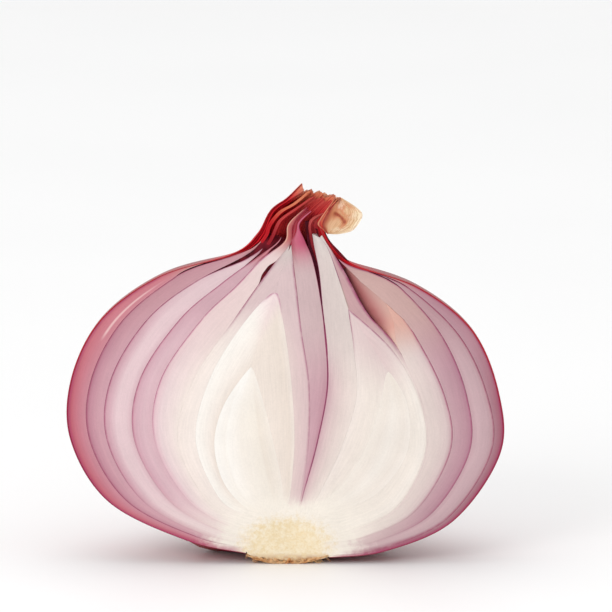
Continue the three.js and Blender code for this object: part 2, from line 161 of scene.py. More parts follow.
# Thickness of the dry skin in mm, and the shares of the common wall at which it is split into scales.
skinDepths = {
    "stations": (0.0, 1.0, 2.5, 6.5, 7.0, 7.35, 7.7, 8.6, 10.0),
    "left": (0.12, 0.16, 0.3, 0.3, 0.6, 1.15, 1.3, 0.7, 0.35),
    "right": (0.12, 0.16, 0.3, 0.3, 0.5, 0.75, 0.85, 0.6, 0.35),
}
splits = {
    "stations": (0.0, 3.5, 5.5, 6.0, 6.55, 6.7, 7.1, 8.0),
    "softens": 0.3,
    "left": [
        (0.24, 0.225, 0.225, 0.2, 0.07, 0.075, 0.13, 0.25),
        (0.42, 0.435, 0.47, 0.485, 0.5, 0.5, 0.5, 0.45),
        (0.75, 0.76, 0.79, 0.8, 0.8, 0.8, 0.8, 0.8),
    ],
    "right": [
        (0.12, 0.13, 0.22, 0.2, 0.07, 0.07, 0.1, 0.1),
        (0.46, 0.415, 0.4, 0.38, 0.13, 0.1, 0.2, 0.25),
        (0.76, 0.67, 0.735, 0.95, 0.98, 0.98, 0.98, 0.98),
    ],
}

# The gape behind the second scale at the left throat: where it opens and how wide it is, mm.
throatSlit = {"after": 2, "from": (6.1, 6.9), "wide": 0.95}

grids = {
    "wall": {"body": 120, "neck": 70, "round": 72, "across": 18},
    "heart": {"body": 120, "neck": 50, "round": 48, "across": 14},
    "core": {"body": 100, "neck": 0, "round": 40, "across": 28},
    "sheath": {"body": 70, "neck": 0, "round": 72, "across": 8},
    "plate": {"body": 50, "neck": 0, "round": 48, "across": 48},
}


def smooth(value, low, high):
    # Smooth step: s = (value - low) / (high - low) held between 0 and 1, then s*s*(3 - 2s).
    share = np.clip((value - low) / (high - low), 0.0, 1.0)
    return share * share * (3.0 - 2.0 * share)


def waves(rows, across, along=0.0):
    # Sum of sines: each row adds height*sin(turns*across + lean*along + phase).
    return sum(
        height * np.sin(turns * across + lean * along + phase) for height, turns, lean, phase in rows
    )


def crossed(first, second, across, along=0.0):
    # Product of two sines, each of turns*across + lean*along + phase.
    return waves([(1.0, *first)], across, along) * waves([(1.0, *second)], across, along)


def bell(value, middle, width):
    # Bell curve: exp(-((value - middle)/width)^2).
    return np.exp(-(((value - middle) / width) ** 2))


def crowded(count):
    # Shares between 0 and 1 that lie closer together towards both ends: (1 - cos(turn))/2.
    return (1 - np.cos(np.linspace(0, np.pi, count + 1)[1:-1])) / 2


def quarterRound(toEdge, radius):
    # How far a rounded edge lies back: r*(1 - sqrt(1 - u*u)), with u = 1 at the edge and 0 at r from it.
    inside = np.clip(1 - toEdge / radius, 0, 1)
    return radius * (1 - np.sqrt(1 - inside**2))


def taperAt(tip, station, length):
    # Thickness near a tip: the root of the distance to it, as a share of the length.
    return np.sqrt(np.clip((tip - station) / length, 0, 1)) if length else 1.0


def curveAt(points, station):
    # Catmull-Rom curve: each span is the cubic through its two points whose slope at a point is half the
    # step between the points before and after it.
    knots = np.array(points, float)
    last = len(knots) - 1
    start = np.clip(np.floor(station).astype(int), 0, last - 1)
    step = (station - start)[..., None]
    before = knots[np.maximum(start - 1, 0)]
    here = knots[start]
    there = knots[start + 1]
    after = knots[np.minimum(start + 2, last)]
    slope = there - before
    square = 2 * before - 5 * here + 4 * there - after
    cube = 3 * here - before - 3 * there + after
    return 0.5 * (2 * here + slope * step + square * step**2 + cube * step**3)


def lengthOf(steps):
    return np.linalg.norm(steps, axis=-1)


def stacked(*parts):
    return np.stack(parts, axis=-1)


def pairAt(body, station):
    # Left and right outline. With u from 0 to 1 over the last span below a tip, the half width is divided by
    # (1 - u*u)^blunt, which rounds the tip; above the tip both outlines are the seam.
    pair = (outlines[body + "Left"], outlines[body + "Right"])
    tip = tipped.get(body)
    if tip is None:
        return [curveAt(outline, station) for outline in pair]
    below = np.minimum(station, tip["knot"])
    left, right = (curveAt(outline, below) for outline in pair)
    rise = np.clip(below - (tip["knot"] - 1), 0, 1)
    half = (right - left) / 2 / ((1 - rise**2 + tipSoftens) ** tip["blunt"])[..., None]
    centre = (left + right) / 2
    isAbove = (station >= tip["knot"])[..., None]
    centre = np.where(isAbove, curveAt(tip["seam"], np.maximum(station - tip["knot"], 0)), centre)
    half = np.where(isAbove, np.array(seamHalf), half)
    return centre - half, centre + half


def ringPoints(left, right, ratio, angle):
    # Half an ellipse behind the cut: centre + half*cos(angle), and depth = ratio*|half|*sin(angle).
    half = (right - left) / 2
    place = (left + right) / 2 + half * np.cos(angle)[..., None]
    return stacked(place[..., 0], ratio * lengthOf(half) * np.sin(angle), place[..., 1])


def restDrop(x, y, skinHeight):
    # The underside sinks by its height up to restDrop, faded out upward, to the sides and at the cut.
    fade = 1 - smooth(skinHeight, bulb["restDrop"], bulb["restFades"])
    reach = smooth(y, *bulb["restDepths"]) * (1 - smooth(np.abs(x), *bulb["restWidths"]))
    return np.minimum(skinHeight, bulb["restDrop"]) * fade * reach


def sheathLimit(station, thins, fullest):
    # Largest thickness of a scale: full in the belly, and less by the root of a smooth step towards the neck.
    dried = np.sqrt(smooth(station, *thins))
    return fullest + (bulb["sheath"] - fullest) * dried


def stationGrid(look, grid, angle):
    # Rows are evenly spaced up to the shoulder, and from there to the tip. The tip's station moves from the
    # right value to the left one with (1 - cos(angle))/2.
    left, right = look["tips"]
    tip = right + (left - right) * (1 - np.cos(angle)) / 2
    if "ragged" in look:
        tip = tip + waves(look["ragged"], angle)
    shoulder = np.minimum(bulb["shoulder"], tip)
    body = np.linspace(0, 1, grid["body"] + 1)[:, None] * shoulder
    if grid["neck"] == 0:
        return body, tip
    neck = np.linspace(0, 1, grid["neck"] + 1)[1:, None] * (tip - shoulder) + shoulder
    return np.concatenate([body, neck]), tip


def loopColumns(grid):
    # One loop round a shell: outer face from right to left, left cut, inner face back, right cut.
    arc = np.linspace(0, np.pi, grid["round"] + 1)
    across = crowded(grid["across"])
    angle = np.concatenate([arc, np.full(across.size, np.pi), arc[::-1], np.zeros(across.size)])
    share = np.concatenate([np.zeros(arc.size), across, np.ones(arc.size), across[::-1]])
    return angle, share


def cutRelief(points, thickness, share, angle, station, look):
    # The cut face bows out by crown*4*share*(1 - share), and its outer edge is a quarter round that fades at
    # the root. Strands are grooves of depth grooves*thickness*(1 - |sin(strands*pi*share)|).
    onCut = np.broadcast_to(np.sin(angle) < bulb["tiny"], share.shape)
    full = look["edge"] * smooth(station, *look["edgeFrom"])
    radius = np.minimum(full, thickness / 2) + bulb["tiny"]
    back = quarterRound(share * thickness, radius)
    if "strands" in look:
        groove = 1 - np.abs(np.sin(look["strands"] * np.pi * share))
        back = back + look["grooves"] * thickness * groove * smooth(station, *look["groovesFrom"])
    bow = look["crown"] * 4 * share * (1 - share)
    points[..., 1] = np.where(onCut, points[..., 1] + back - bow, np.maximum(points[..., 1], back))
    return points


def addObject(name, data):
    holder = bpy.data.objects.new(name, data)
    scene.collection.objects.link(holder)
    return holder


def makeMesh(name, points, faces, attributes, uv):
    # The rows and columns of points become vertices, with one value of each attribute for every vertex.
    mesh = bpy.data.meshes.new(name)
    flat = points.reshape(-1, 3) * bulb["mm"]
    flat[:, 1] += bulb["cutPlane"]
    mesh.from_pydata(flat.tolist(), [], faces)
    for key, values in attributes.items():
        layer = mesh.attributes.new(key, "FLOAT", "POINT")
        layer.data.foreach_set("value", values.reshape(-1).astype(np.float32))
    corners = np.zeros(len(mesh.loops), np.int32)
    mesh.loops.foreach_get("vertex_index", corners)
    layer = mesh.uv_layers.new(name="along")
    layer.data.foreach_set("uv", uv.reshape(-1, 2)[corners].reshape(-1).astype(np.float32))
    mesh.shade_smooth()
    mesh.set_sharp_from_angle(angle=math.radians(bulb["sharpAngle"]))
    mesh.update()
    return addObject(name, mesh)


def alongUv(angle, station):
    # The turn round the bulb and the way from root to neck, both from 0 to 1.
    return stacked(np.broadcast_to(angle / np.pi, station.shape), station / bulb["lastStation"])


def loopFaces(rows, count):
    # Squares between neighbouring rows of a closed loop, turned outward for a loop that runs anticlockwise.
    start = np.arange(rows - 1)[:, None] * count
    first = (start + np.arange(count)[None, :]).reshape(-1)
    second = (start + np.roll(np.arange(count), -1)[None, :]).reshape(-1)
    return np.stack([first, second, second + count, first + count], axis=1).tolist()


def endFaces(rows, count):
    # One polygon closes the first row and one the last.
    ring = np.arange(count)
    return [ring[::-1].tolist(), (ring + (rows - 1) * count).tolist()]


def shellCaps(rows, grid):
    # Strips between the outer and inner arc close both ends, and a narrow polygon closes each cut edge there.
    turns = grid["round"] + 1
    inner = grid["across"] - 1
    count = 2 * turns + 2 * inner
    ends = [turns, turns + inner, 2 * turns + inner]
    outerArc, leftCut, innerArc, rightCut = np.split(np.arange(count), ends)
    innerArc = innerArc[::-1]
    strip = np.stack([outerArc[:-1], innerArc[:-1], innerArc[1:], outerArc[1:]], axis=1)
    top = (rows - 1) * count
    faces = strip.tolist() + (strip[:, ::-1] + top).tolist()
    leftEnd = np.concatenate([[innerArc[-1]], leftCut[::-1], [outerArc[-1]]])
    rightEnd = np.concatenate([[outerArc[0]], rightCut[::-1], [innerArc[0]]])
    for end in (leftEnd, rightEnd):
        faces.append(end.tolist())
        faces.append((end[::-1] + top).tolist())
    return faces


def shellPiece(look, faceAt, grid):
    # A half shell: share 0 is its outer face, share 1 its inner one, and the shares between lie on the cut.
    angle, share = loopColumns(grid)
    station, tip = stationGrid(look, grid, angle)
    shareGrid = np.broadcast_to(share, station.shape)
    outer = faceAt(np.zeros_like(shareGrid), station, angle, tip)
    inner = faceAt(np.ones_like(shareGrid), station, angle, tip)
    thickness = lengthOf(inner - outer)
    points = faceAt(shareGrid, station, angle, tip)
    points = cutRelief(points, thickness, shareGrid, angle, station, look)
    onCut = (np.sin(angle) < bulb["tiny"]) & (share > 0) & (share < look.get("cutEnds", 1.0))
    attributes = {
        "depthMm": shareGrid * thickness,
        "share": shareGrid,
        "station": station,
        "side": np.broadcast_to(np.cos(angle), station.shape),
        "cut": np.broadcast_to(onCut, station.shape),
    }
    rows = station.shape[0]
    faces = loopFaces(rows, angle.size) + shellCaps(rows, grid)
    return makeMesh(look["piece"], points, faces, attributes, alongUv(angle, station))


def solidPiece(look, ratio, grid):
    # A solid half body: the outer arc from right to left, then the chord back across the cut face.
    arc = np.linspace(0, np.pi, grid["round"] + 1)
    chord = crowded(grid["across"])
    angle = np.concatenate([arc, np.full(chord.size, np.pi)])
    station = stationGrid(look, grid, angle)[0]
    left, right = pairAt(look["piece"], station)
    points = heartPoints(left, right, ratio, angle)
    width = lengthOf(right - left)
    across = np.concatenate([(1 - np.cos(arc)) / 2, 1 - chord])  # 0 at the right edge, 1 at the left one
    acrossGrid = np.broadcast_to(across, station.shape)
    flat = left * acrossGrid[..., None] + right * (1 - acrossGrid[..., None])
    onChord = np.arange(angle.size) > grid["round"]
    toEdge = np.minimum(acrossGrid, 1 - acrossGrid) * width
    radius = np.minimum(look["edge"], width / 2) + bulb["tiny"]
    bow = look["crown"] * 4 * acrossGrid * (1 - acrossGrid)
    back = quarterRound(toEdge, radius) - bow + look["sunk"]
    cutPoints = stacked(flat[..., 0], back, flat[..., 1])
    foremost = np.where(np.sin(angle) < bulb["tiny"], radius + look["sunk"], 0)
    points[..., 1] = np.maximum(points[..., 1], foremost)
    points = np.where(onChord[None, :, None], cutPoints, points)
    attributes = {
        "depthMm": np.where(onChord[None, :], toEdge, 0.0),
        "share": np.where(onChord[None, :], 1 - np.abs(2 * acrossGrid - 1), 0.0),
        "station": station,
        "side": 1 - 2 * acrossGrid,
        "cut": np.broadcast_to(onChord, station.shape),
    }
    rows, count = station.shape
    faces = loopFaces(rows, count) + endFaces(rows, count)
    return makeMesh(look["piece"], points, faces, attributes, alongUv(angle, station))


def heartPoints(left, right, ratio, angle):
    # A ring inside the wall, sunk by its share of the flattened underside below it.
    points = ringPoints(left, right, ratio, angle)
    x, y, z = points[..., 0], points[..., 1], points[..., 2]
    below = bulb["undersideCurve"] * (x**2 + (y / bulb["depthRatio"]) ** 2)
    fade = 1 - smooth(z, 0.0, bulb["heartRestFades"])
    points[..., 2] = z - bulb["heartDropShare"] * fade * restDrop(x, y, below)
    return points


def splitAt(row, station):
    # A split's bends are rounded: (value a little below + 2*value here + value a little above) / 4.
    steps = (-splits["softens"], 0, splits["softens"])
    below, here, above = (np.interp(station + step, splits["stations"], row) for step in steps)
    return (below + 2 * here + above) / 4


def wallDepths(index, side, station, wall):
    # Depths of a scale's outer and inner face: its two splits times the wall's thickness, less half a gap.
    # The dry skin has index 0, and the scales 1 to 4.
    gap = bulb["gap"] * smooth(station, *bulb["gapFrom"]) + bulb["leastGap"]
    rows = splits[side]
    skin = np.interp(station, skinDepths["stations"], skinDepths[side])
    if index == 0:
        return np.zeros_like(wall), skin
    outer = skin
    if index > 1:
        outer = np.maximum(splitAt(rows[index - 2], station) * wall, skin)
    outer = outer + gap / 2
    inner = wall
    if index <= len(rows):
        inner = splitAt(rows[index - 1], station) * wall - gap / 2
    if side == "left":
        half = throatSlit["wide"] / 2 * smooth(station, *throatSlit["from"])
        inner = inner - half * (index == throatSlit["after"])
        outer = outer + half * (index == throatSlit["after"] + 1)
    limit = sheathLimit(station, bulb["thins"], bulb["fullest"])
    return outer, np.clip(inner, outer + bulb["leastThick"], outer + limit)


def wallFace(index, look):
    # A face of the common wall: the skin's outline moved inward by the depth that belongs to the share, less
    # ripples, which are sines round the neck. A spike at the left cut edge is a bell curve of the angle.
    def faceAt(share, station, angle, tip):
        taper = taperAt(tip, station, look["taper"])
        ripple = 0.0
        if "ripples" in look:
            ripple = waves(look["ripples"], angle, station) * smooth(station, *look["ripplesFrom"])
        skins = pairAt("skin", station)
        edges = []
        for side, start, end in zip(("left", "right"), skins, pairAt("wall", station)):
            wall = lengthOf(end - start)
            outer, inner = wallDepths(index, side, station, wall)
            depth = outer + (inner - outer) * taper * share - ripple
            edges.append(start + (end - start) * (depth / wall)[..., None])
        points = ringPoints(*edges, bulb["depthRatio"], angle)
        skinPoints = ringPoints(*skins, bulb["depthRatio"], angle)
        points[..., 2] -= restDrop(skinPoints[..., 0], skinPoints[..., 1], skinPoints[..., 2])
        if "spike" in look:
            spike = look["spike"]
            rise = spike["height"] * bell(angle, np.pi, spike["wide"])
            points[..., 2] += rise * smooth(station, *spike["from"])
        return points

    return faceAt


nested = {
    "leastGap": 0.005,  # mm
    "leastDeep": 0.02,  # mm
    "gapEnds": 0.1,  # stations over which a gap closes below the tip inside it
    "slitOpens": (6.2, 6.6),  # stations over which a slit opens behind a scale
    "slitCloses": (6.85, 7.15),
}


def nestedFace(look):
    # A face between a body's outlines and those of the next body in, at most sheathLimit below the first.
    def faceAt(share, station, angle, tip):
        taper = taperAt(tip, station, look["taper"])
        gap = look["gap"] * smooth(station, *bulb["gapFrom"]) + nested["leastGap"]
        if look["next"] in tipped:
            knot = tipped[look["next"]]["knot"]
            gap = gap * (1 - smooth(station, knot - nested["gapEnds"], knot))
        opened = smooth(station, *nested["slitOpens"]) * (1 - smooth(station, *nested["slitCloses"]))
        pairs = (pairAt(look["piece"], station), pairAt(look["next"], station))
        edges = []
        for start, end, thins, slit in zip(*pairs, look["thins"], look["slits"]):
            room = lengthOf(end - start) + bulb["tiny"]
            limit = sheathLimit(station, thins, look["fullest"])
            free = np.maximum(room - gap - slit * opened, nested["leastDeep"])
            move = gap / 2 + (np.minimum(free, limit) * taper - gap / 2) * share
            edges.append(start + (end - start) * (move / room)[..., None])
        return heartPoints(*edges, bulb["heartRatio"][look["heart"]], angle)

    return faceAt


def linear(red, green, blue):
    # sRGB bytes to linear light: c/12.92 below 0.04045, else ((c + 0.055)/1.055)^2.4.
    values = np.array([red, green, blue]) / 255
    light = np.where(values <= 0.04045, values / 12.92, ((values + 0.055) / 1.055) ** 2.4)
    return (*light.tolist(), 1.0)


def setInput(tree, socket, value):
    if isinstance(value, bpy.types.NodeSocket):
        tree.links.new(value, socket)
    else:
        socket.default_value = value


def addNode(tree, kind, inputs=None, **settings):
    node = tree.nodes.new(kind)
    for key, value in settings.items():
        setattr(node, key, value)
    for key, value in (inputs or {}).items():
        setInput(tree, node.inputs[key], value)
    return node


def attribute(tree, name):
    return addNode(tree, "ShaderNodeAttribute", attribute_name=name).outputs["Fac"]


def objectPlace(tree):
    return addNode(tree, "ShaderNodeTexCoord").outputs["Object"]


def maths(tree, operation, first, second=0.0):
    return addNode(tree, "ShaderNodeMath", {0: first, 1: second}, operation=operation).outputs[0]


def times(tree, first, *others):
    for other in others:
        first = maths(tree, "MULTIPLY", first, other)
    return first


def plus(tree, first, *others):
    for other in others:
        first = maths(tree, "ADD", first, other)
    return first


def swing(tree, value, share):
    # A pattern's distance from its middle: (value - 0.5)*share.
    return times(tree, maths(tree, "SUBTRACT", value, 0.5), share)


def ridged(tree, value, power):
    # Narrow ridges at even steps: |sin(value)|^power.
    return maths(tree, "POWER", maths(tree, "ABSOLUTE", maths(tree, "SINE", value)), power)


def vector(tree, x, y, z):
    return addNode(tree, "ShaderNodeCombineXYZ", {0: x, 1: y, 2: z}).outputs[0]


def vectorMaths(tree, operation, *values):
    return addNode(tree, "ShaderNodeVectorMath", dict(enumerate(values)), operation=operation).outputs


def stepped(tree, value, low, high, start=0.0, end=1.0):
    inputs = {"Value": value, "From Min": low, "From Max": high, "To Min": start, "To Max": end}
    return addNode(tree, "ShaderNodeMapRange", inputs, interpolation_type="SMOOTHSTEP").outputs["Result"]


def within(tree, value, *spans):
    # Product of smooth steps of one value.
    return times(tree, *(stepped(tree, value, *span) for span in spans))


def mixColour(tree, factor, first, second, blend="MIX"):
    # Both colours are sockets or sRGB bytes.
    inputs = {0: factor}
    for key, shade in ((6, first), (7, second)):
        inputs[key] = shade if isinstance(shade, bpy.types.NodeSocket) else linear(*shade)
    return addNode(tree, "ShaderNodeMix", inputs, data_type="RGBA", blend_type=blend).outputs[2]


def layered(tree, base, *layers):
    # Each layer is a mask and the colour that it lays over what is below.
    for mask, shade in layers:
        base = mixColour(tree, mask, base, shade)
    return base


def mixValue(tree, factor, first, second):
    inputs = {0: factor, 2: first, 3: second}
    return addNode(tree, "ShaderNodeMix", inputs, data_type="FLOAT").outputs[0]


def shaded(tree, colour, shade):
    # A colour times a grey value.
    grey = addNode(tree, "ShaderNodeCombineColor", {0: shade, 1: shade, 2: shade}).outputs[0]
    return mixColour(tree, 1.0, colour, grey, "MULTIPLY")


def colourRamp(tree, value, stops):
    node = addNode(tree, "ShaderNodeValToRGB", {"Fac": value})
    ramp = node.color_ramp
    while len(ramp.elements) < len(stops):
        ramp.elements.new(1.0)
    for element, (place, *shade) in zip(ramp.elements, stops):
        element.position = place
        element.color = linear(*shade)
    return node.outputs["Color"]


def noise(tree, place, scale, detail=3.0, rough=0.5):
    inputs = {"Vector": place, "Scale": scale, "Detail": detail, "Roughness": rough}
    return addNode(tree, "ShaderNodeTexNoise", inputs).outputs["Fac"]


def newGroup(name, inputs, outputs):
    # All sockets are numbers, apart from one that is called Colour.
    tree = bpy.data.node_groups.new(name, "ShaderNodeTree")
    for way, keys in (("INPUT", inputs), ("OUTPUT", outputs)):
        for key in keys:
            kind = "NodeSocketColor" if key == "Colour" else "NodeSocketFloat"
            tree.interface.new_socket(key, in_out=way, socket_type=kind)
    return tree, addNode(tree, "NodeGroupInput").outputs


def useGroup(tree, group, inputs=None):
    return addNode(tree, "ShaderNodeGroup", inputs, node_tree=group).outputs


def newMaterial(name):
    material = bpy.data.materials.new(name)
    material.use_nodes = True
    tree = material.node_tree
    return material, tree, tree.nodes["Principled BSDF"]


def dress(tree, shader, base, rough, height=None, bump=None):
    # Colour, roughness and, where there is one, a bump with its strength and its depth in metres.
    setInput(tree, shader.inputs["Base Color"], base)
    setInput(tree, shader.inputs["Roughness"], rough)
    if bump:
        inputs = {"Height": height, "Strength": bump[0], "Distance": bump[1]}
        setInput(tree, shader.inputs["Normal"], addNode(tree, "ShaderNodeBump", inputs).outputs[0])


grainLook = {
    "stretch": (2.2, 1.3, 7.0),  # of the fibres, by depth in mm, station and side
    "fibres": (1.6, 4.0, 0.6),  # scale, detail and roughness of a noise, here and below
    "cells": (2600.0, 2.0, 0.6),
    "clouds": (160.0, 3.0, 0.5),
    "cellShare": 0.10,
    "cloudShare": 0.14,
    "level": 0.915,
}


def makeGrainGroup():
    # Flesh: fibres run along a scale and vary across it, and fine cells cover all of it.
    tree, given = newGroup("fleshGrain", ["Fibre"], ["Shade", "Height"])
    place = objectPlace(tree)
    stretch = zip(("depthMm", "station", "side"), grainLook["stretch"])
    fibrePlace = vector(tree, *(times(tree, attribute(tree, name), scale) for name, scale in stretch))
    fibres = noise(tree, fibrePlace, *grainLook["fibres"])
    cells = noise(tree, place, *grainLook["cells"])
    clouds = noise(tree, place, *grainLook["clouds"])
    fibreShade = swing(tree, fibres, given["Fibre"])
    cellShade = swing(tree, cells, grainLook["cellShare"])
    cloudShade = swing(tree, clouds, grainLook["cloudShare"])
    shade = plus(tree, fibreShade, cellShade, cloudShade, grainLook["level"])
    height = times(tree, plus(tree, fibres, cells), 0.5)
    addNode(tree, "NodeGroupOutput", {"Shade": shade, "Height": height})
    return tree


rootLook = {
    "middle": (0.0002, bulb["cutPlane"], 0.0036),  # metres
    "squash": (0.85, 1.0, 1.4),
    "speckles": (1300.0, 4.0, 0.65),
    "wobble": 0.006,  # metres
}


def makeRootGroup():
    # Around the root plate: a mask that falls from 1 to 0 with distance from the middle of the plate.
    tree, given = newGroup("rootTint", ["Reach", "Core"], ["Mask", "Grain"])
    place = objectPlace(tree)
    away = vectorMaths(tree, "SUBTRACT", place, rootLook["middle"])["Vector"]
    away = vectorMaths(tree, "MULTIPLY", away, rootLook["squash"])["Vector"]
    far = vectorMaths(tree, "LENGTH", away)["Value"]
    speckles = noise(tree, place, *rootLook["speckles"])
    far = plus(tree, far, swing(tree, speckles, rootLook["wobble"]))
    mask = stepped(tree, far, given["Reach"], given["Core"])
    addNode(tree, "NodeGroupOutput", {"Mask": mask, "Grain": speckles})
    return tree


grainGroup = makeGrainGroup()
rootGroup = makeRootGroup()

stemLook = {
    "zone": {"Reach": 0.0088, "Core": 0.0046},  # metres
    "cream": (250, 242, 230),
    "grains": ((243, 222, 180), (249, 234, 204)),
    "grainSteps": (0.35, 0.65),
    "cells": 2000.0,
    "cellShade": (253, 244, 224),
    "cellSteps": (0.55, 0.15, 0.0, 0.3),
    "cellHeight": -0.6,
}


def makeStemGroup():
    # Stem tissue: cream that turns to granular yellow inside the root mask, with small pale spots that are
    # partly the tissue's own cells and partly painted glints.
    tree = newGroup("stemTissue", [], ["Colour", "Height"])[0]
    zone = useGroup(tree, rootGroup, stemLook["zone"])
    grain = zone["Grain"]
    cellInputs = {"Vector": objectPlace(tree), "Scale": stemLook["cells"]}
    cells = addNode(tree, "ShaderNodeTexVoronoi", cellInputs).outputs["Distance"]
    # Pale spots: partly the tissue's own cells, partly painted glints.
    cellAndGlintMask = stepped(tree, cells, *stemLook["cellSteps"])
    yellow = mixColour(tree, stepped(tree, grain, *stemLook["grainSteps"]), *stemLook["grains"])
    yellow = mixColour(tree, cellAndGlintMask, yellow, stemLook["cellShade"])
    colour = mixColour(tree, zone["Mask"], stemLook["cream"], yellow)
    height = plus(tree, grain, times(tree, cells, stemLook["cellHeight"]))
    addNode(tree, "NodeGroupOutput", {"Colour": colour, "Height": height})
    return tree


stemGroup = makeStemGroup()

fleshLook = {
    "sides": (-0.4, 0.4),  # between these the left colours turn into the right ones
    "rootFades": (2.4, 0.4),
    "rootCore": 0.0085,  # metres
    "lineNoise": (700.0, 3.0),
    "lineBreaks": (0.3, 0.55, 0.6, 1.0),
    "lineRises": (3.6, 5.4),
    "lineLow": 0.8,
    "lineNarrows": (0.0, 0.1),
    "filmShares": (0.5, 0.4),
    "streakShares": ((0.56, 0.64), (0.76, 0.68)),
    "streakStations": ((4.6, 4.8), (6.0, 5.4, 0.0, 0.8)),
    "seamShares": (0.84, 1.0),
    "seamStations": ((5.9, 6.2), (8.7, 8.0)),
    "seamFootEnds": (6.5, 7.0),
    "roughHeights": (0.3, 0.7),
    "roughSpread": (-0.08, 0.1),
    "bump": (0.25, 0.00012),
    "coatRough": 0.18,
}


def fleshLine(tree, look, station, isRight):
    # The line under a scale's skin is full at the outer face and ends at its width, which changes towards the
    # root. Noise breaks it up. The second mask says where along the scale there is a line.
    width = look["lineWidth"]
    bodyWidth = mixValue(tree, isRight, width, look.get("rightLine", width))
    rootWidth = mixValue(tree, isRight, *look.get("rootLine", (width, width)))
    aboveRoot = stepped(tree, station, *look.get("lineNarrows", fleshLook["lineNarrows"]))
    line = stepped(tree, attribute(tree, "depthMm"), mixValue(tree, aboveRoot, rootWidth, bodyWidth), 0.0)
    specks = noise(tree, objectPlace(tree), *fleshLook["lineNoise"])
    leftLine, rightLine = (stepped(tree, station, *starts) for starts in look["lineStarts"])
    if "lineEnds" in look:
        rightLine = times(tree, rightLine, stepped(tree, station, *look["lineEnds"]))
    lined = mixValue(tree, isRight, leftLine, rightLine)
    full = look["lineShare"]
    rises = stepped(tree, station, *fleshLook["lineRises"], full * fleshLook["lineLow"], full)
    return times(tree, line, stepped(tree, specks, *fleshLook["lineBreaks"]), lined, rises), lined


def sideStep(tree, look, key, rightKey, station, isRight, share=1.0):
    # A mask along the scale, whose stations may be others at the right.
    spans = (look[key], look.get(rightKey, look[key]))
    return mixValue(tree, isRight, *(stepped(tree, station, *span, 0.0, share) for span in spans))


def fleshMaterial(look):
    # Flesh: a ramp of colours from the outer to the inner face for each side, with other colours towards the
    # neck,
    # stem tissue towards the root and a thin line under the skin. The right-hand ramps carry some painted
    # shade:
    # they are set a little darker because light falls from the left.
    material, tree, shader = newMaterial(look["piece"])
    share = attribute(tree, "share")
    station = attribute(tree, "station")
    isRight = stepped(tree, attribute(tree, "side"), *fleshLook["sides"])
    # Left against right: partly the flesh's own colour, partly painted shade that darkens the right side.
    base = mixColour(tree, isRight, *(colourRamp(tree, share, look[side]) for side in ("left", "right")))
    high = mixColour(tree, isRight, look["leftHigh"], look["rightHigh"])
    isHigh = sideStep(tree, look, "highFrom", "rightHighFrom", station, isRight, look["highShare"])
    tissue = useGroup(tree, stemGroup)["Colour"]
    nearRoot = stepped(tree, station, *fleshLook["rootFades"], 0.0, look["rootShare"])
    zone = useGroup(tree, rootGroup, {"Reach": look["rootReach"], "Core": fleshLook["rootCore"]})
    atRoot = times(tree, zone["Mask"], look["yellow"])
    line, lined = fleshLine(tree, look, station, isRight)
    tips = (look["tip"], look.get("rightTip", look["tip"]))
    tip = mixColour(tree, isRight, *(colourRamp(tree, share, stops) for stops in tips))
    isTip = sideStep(tree, look, "tipFrom", "rightTipFrom", station, isRight)
    layers = [(isHigh, high), (nearRoot, tissue), (atRoot, tissue), (line, look["lineColour"]), (isTip, tip)]
    notCut = maths(tree, "SUBTRACT", 1.0, attribute(tree, "cut"))
    if "film" in look:
        outside = times(tree, notCut, stepped(tree, share, *fleshLook["filmShares"]), lined)
        layers.append((outside, look["film"]))
    if "streak" in look:
        pale = within(tree, share, *fleshLook["streakShares"])
        along = within(tree, station, *fleshLook["streakStations"])
        pale = times(tree, pale, along, maths(tree, "SUBTRACT", 1.0, isRight))
        layers.append((pale, look["streak"]))
    if "inside" in look:
        hidden = times(tree, notCut, stepped(tree, station, *look["insideFrom"]))
        layers.append((hidden, look["inside"]))
    if "seam" in look:
        seam = times(tree, stepped(tree, share, *fleshLook["seamShares"]), isRight)
        seam = times(tree, seam, within(tree, station, *fleshLook["seamStations"]))
        aboveFoot = stepped(tree, station, *fleshLook["seamFootEnds"])
        layers.append((seam, mixColour(tree, aboveFoot, look["seamFoot"], look["seam"])))
    grain = useGroup(tree, grainGroup, {"Fibre": look["fibre"]})
    base = shaded(tree, layered(tree, base, *layers), grain["Shade"])
    roughs = (look["rough"] + step for step in fleshLook["roughSpread"])
    rough = stepped(tree, grain["Height"], *fleshLook["roughHeights"], *roughs)
    dress(tree, shader, base, rough, grain["Height"], fleshLook["bump"])
    setInput(tree, shader.inputs["Coat Weight"], times(tree, attribute(tree, "cut"), look["wet"]))
    shader.inputs["Coat Roughness"].default_value = fleshLook["coatRough"]
    return material


streakLook = {
    "shareTurn": 0.06,
    "lengthways": (60.0, 5.0, 0.0),  # scale by turn, scale from root to neck, and layer of the noise
    "patchwise": (20.0, 4.0, 4.0),
    "fine": (2.4, 4.0, 0.6),
    "streaks": (0.35, 4.0, 0.65),
    "patches": (0.7, 5.0, 0.6),
    "drift": (60.0, 2.0),
    "driftTurn": 5.0,
    "veinPower": 14.0,
    "fineHeight": 0.6,
    "veinHeight": 0.5,
}


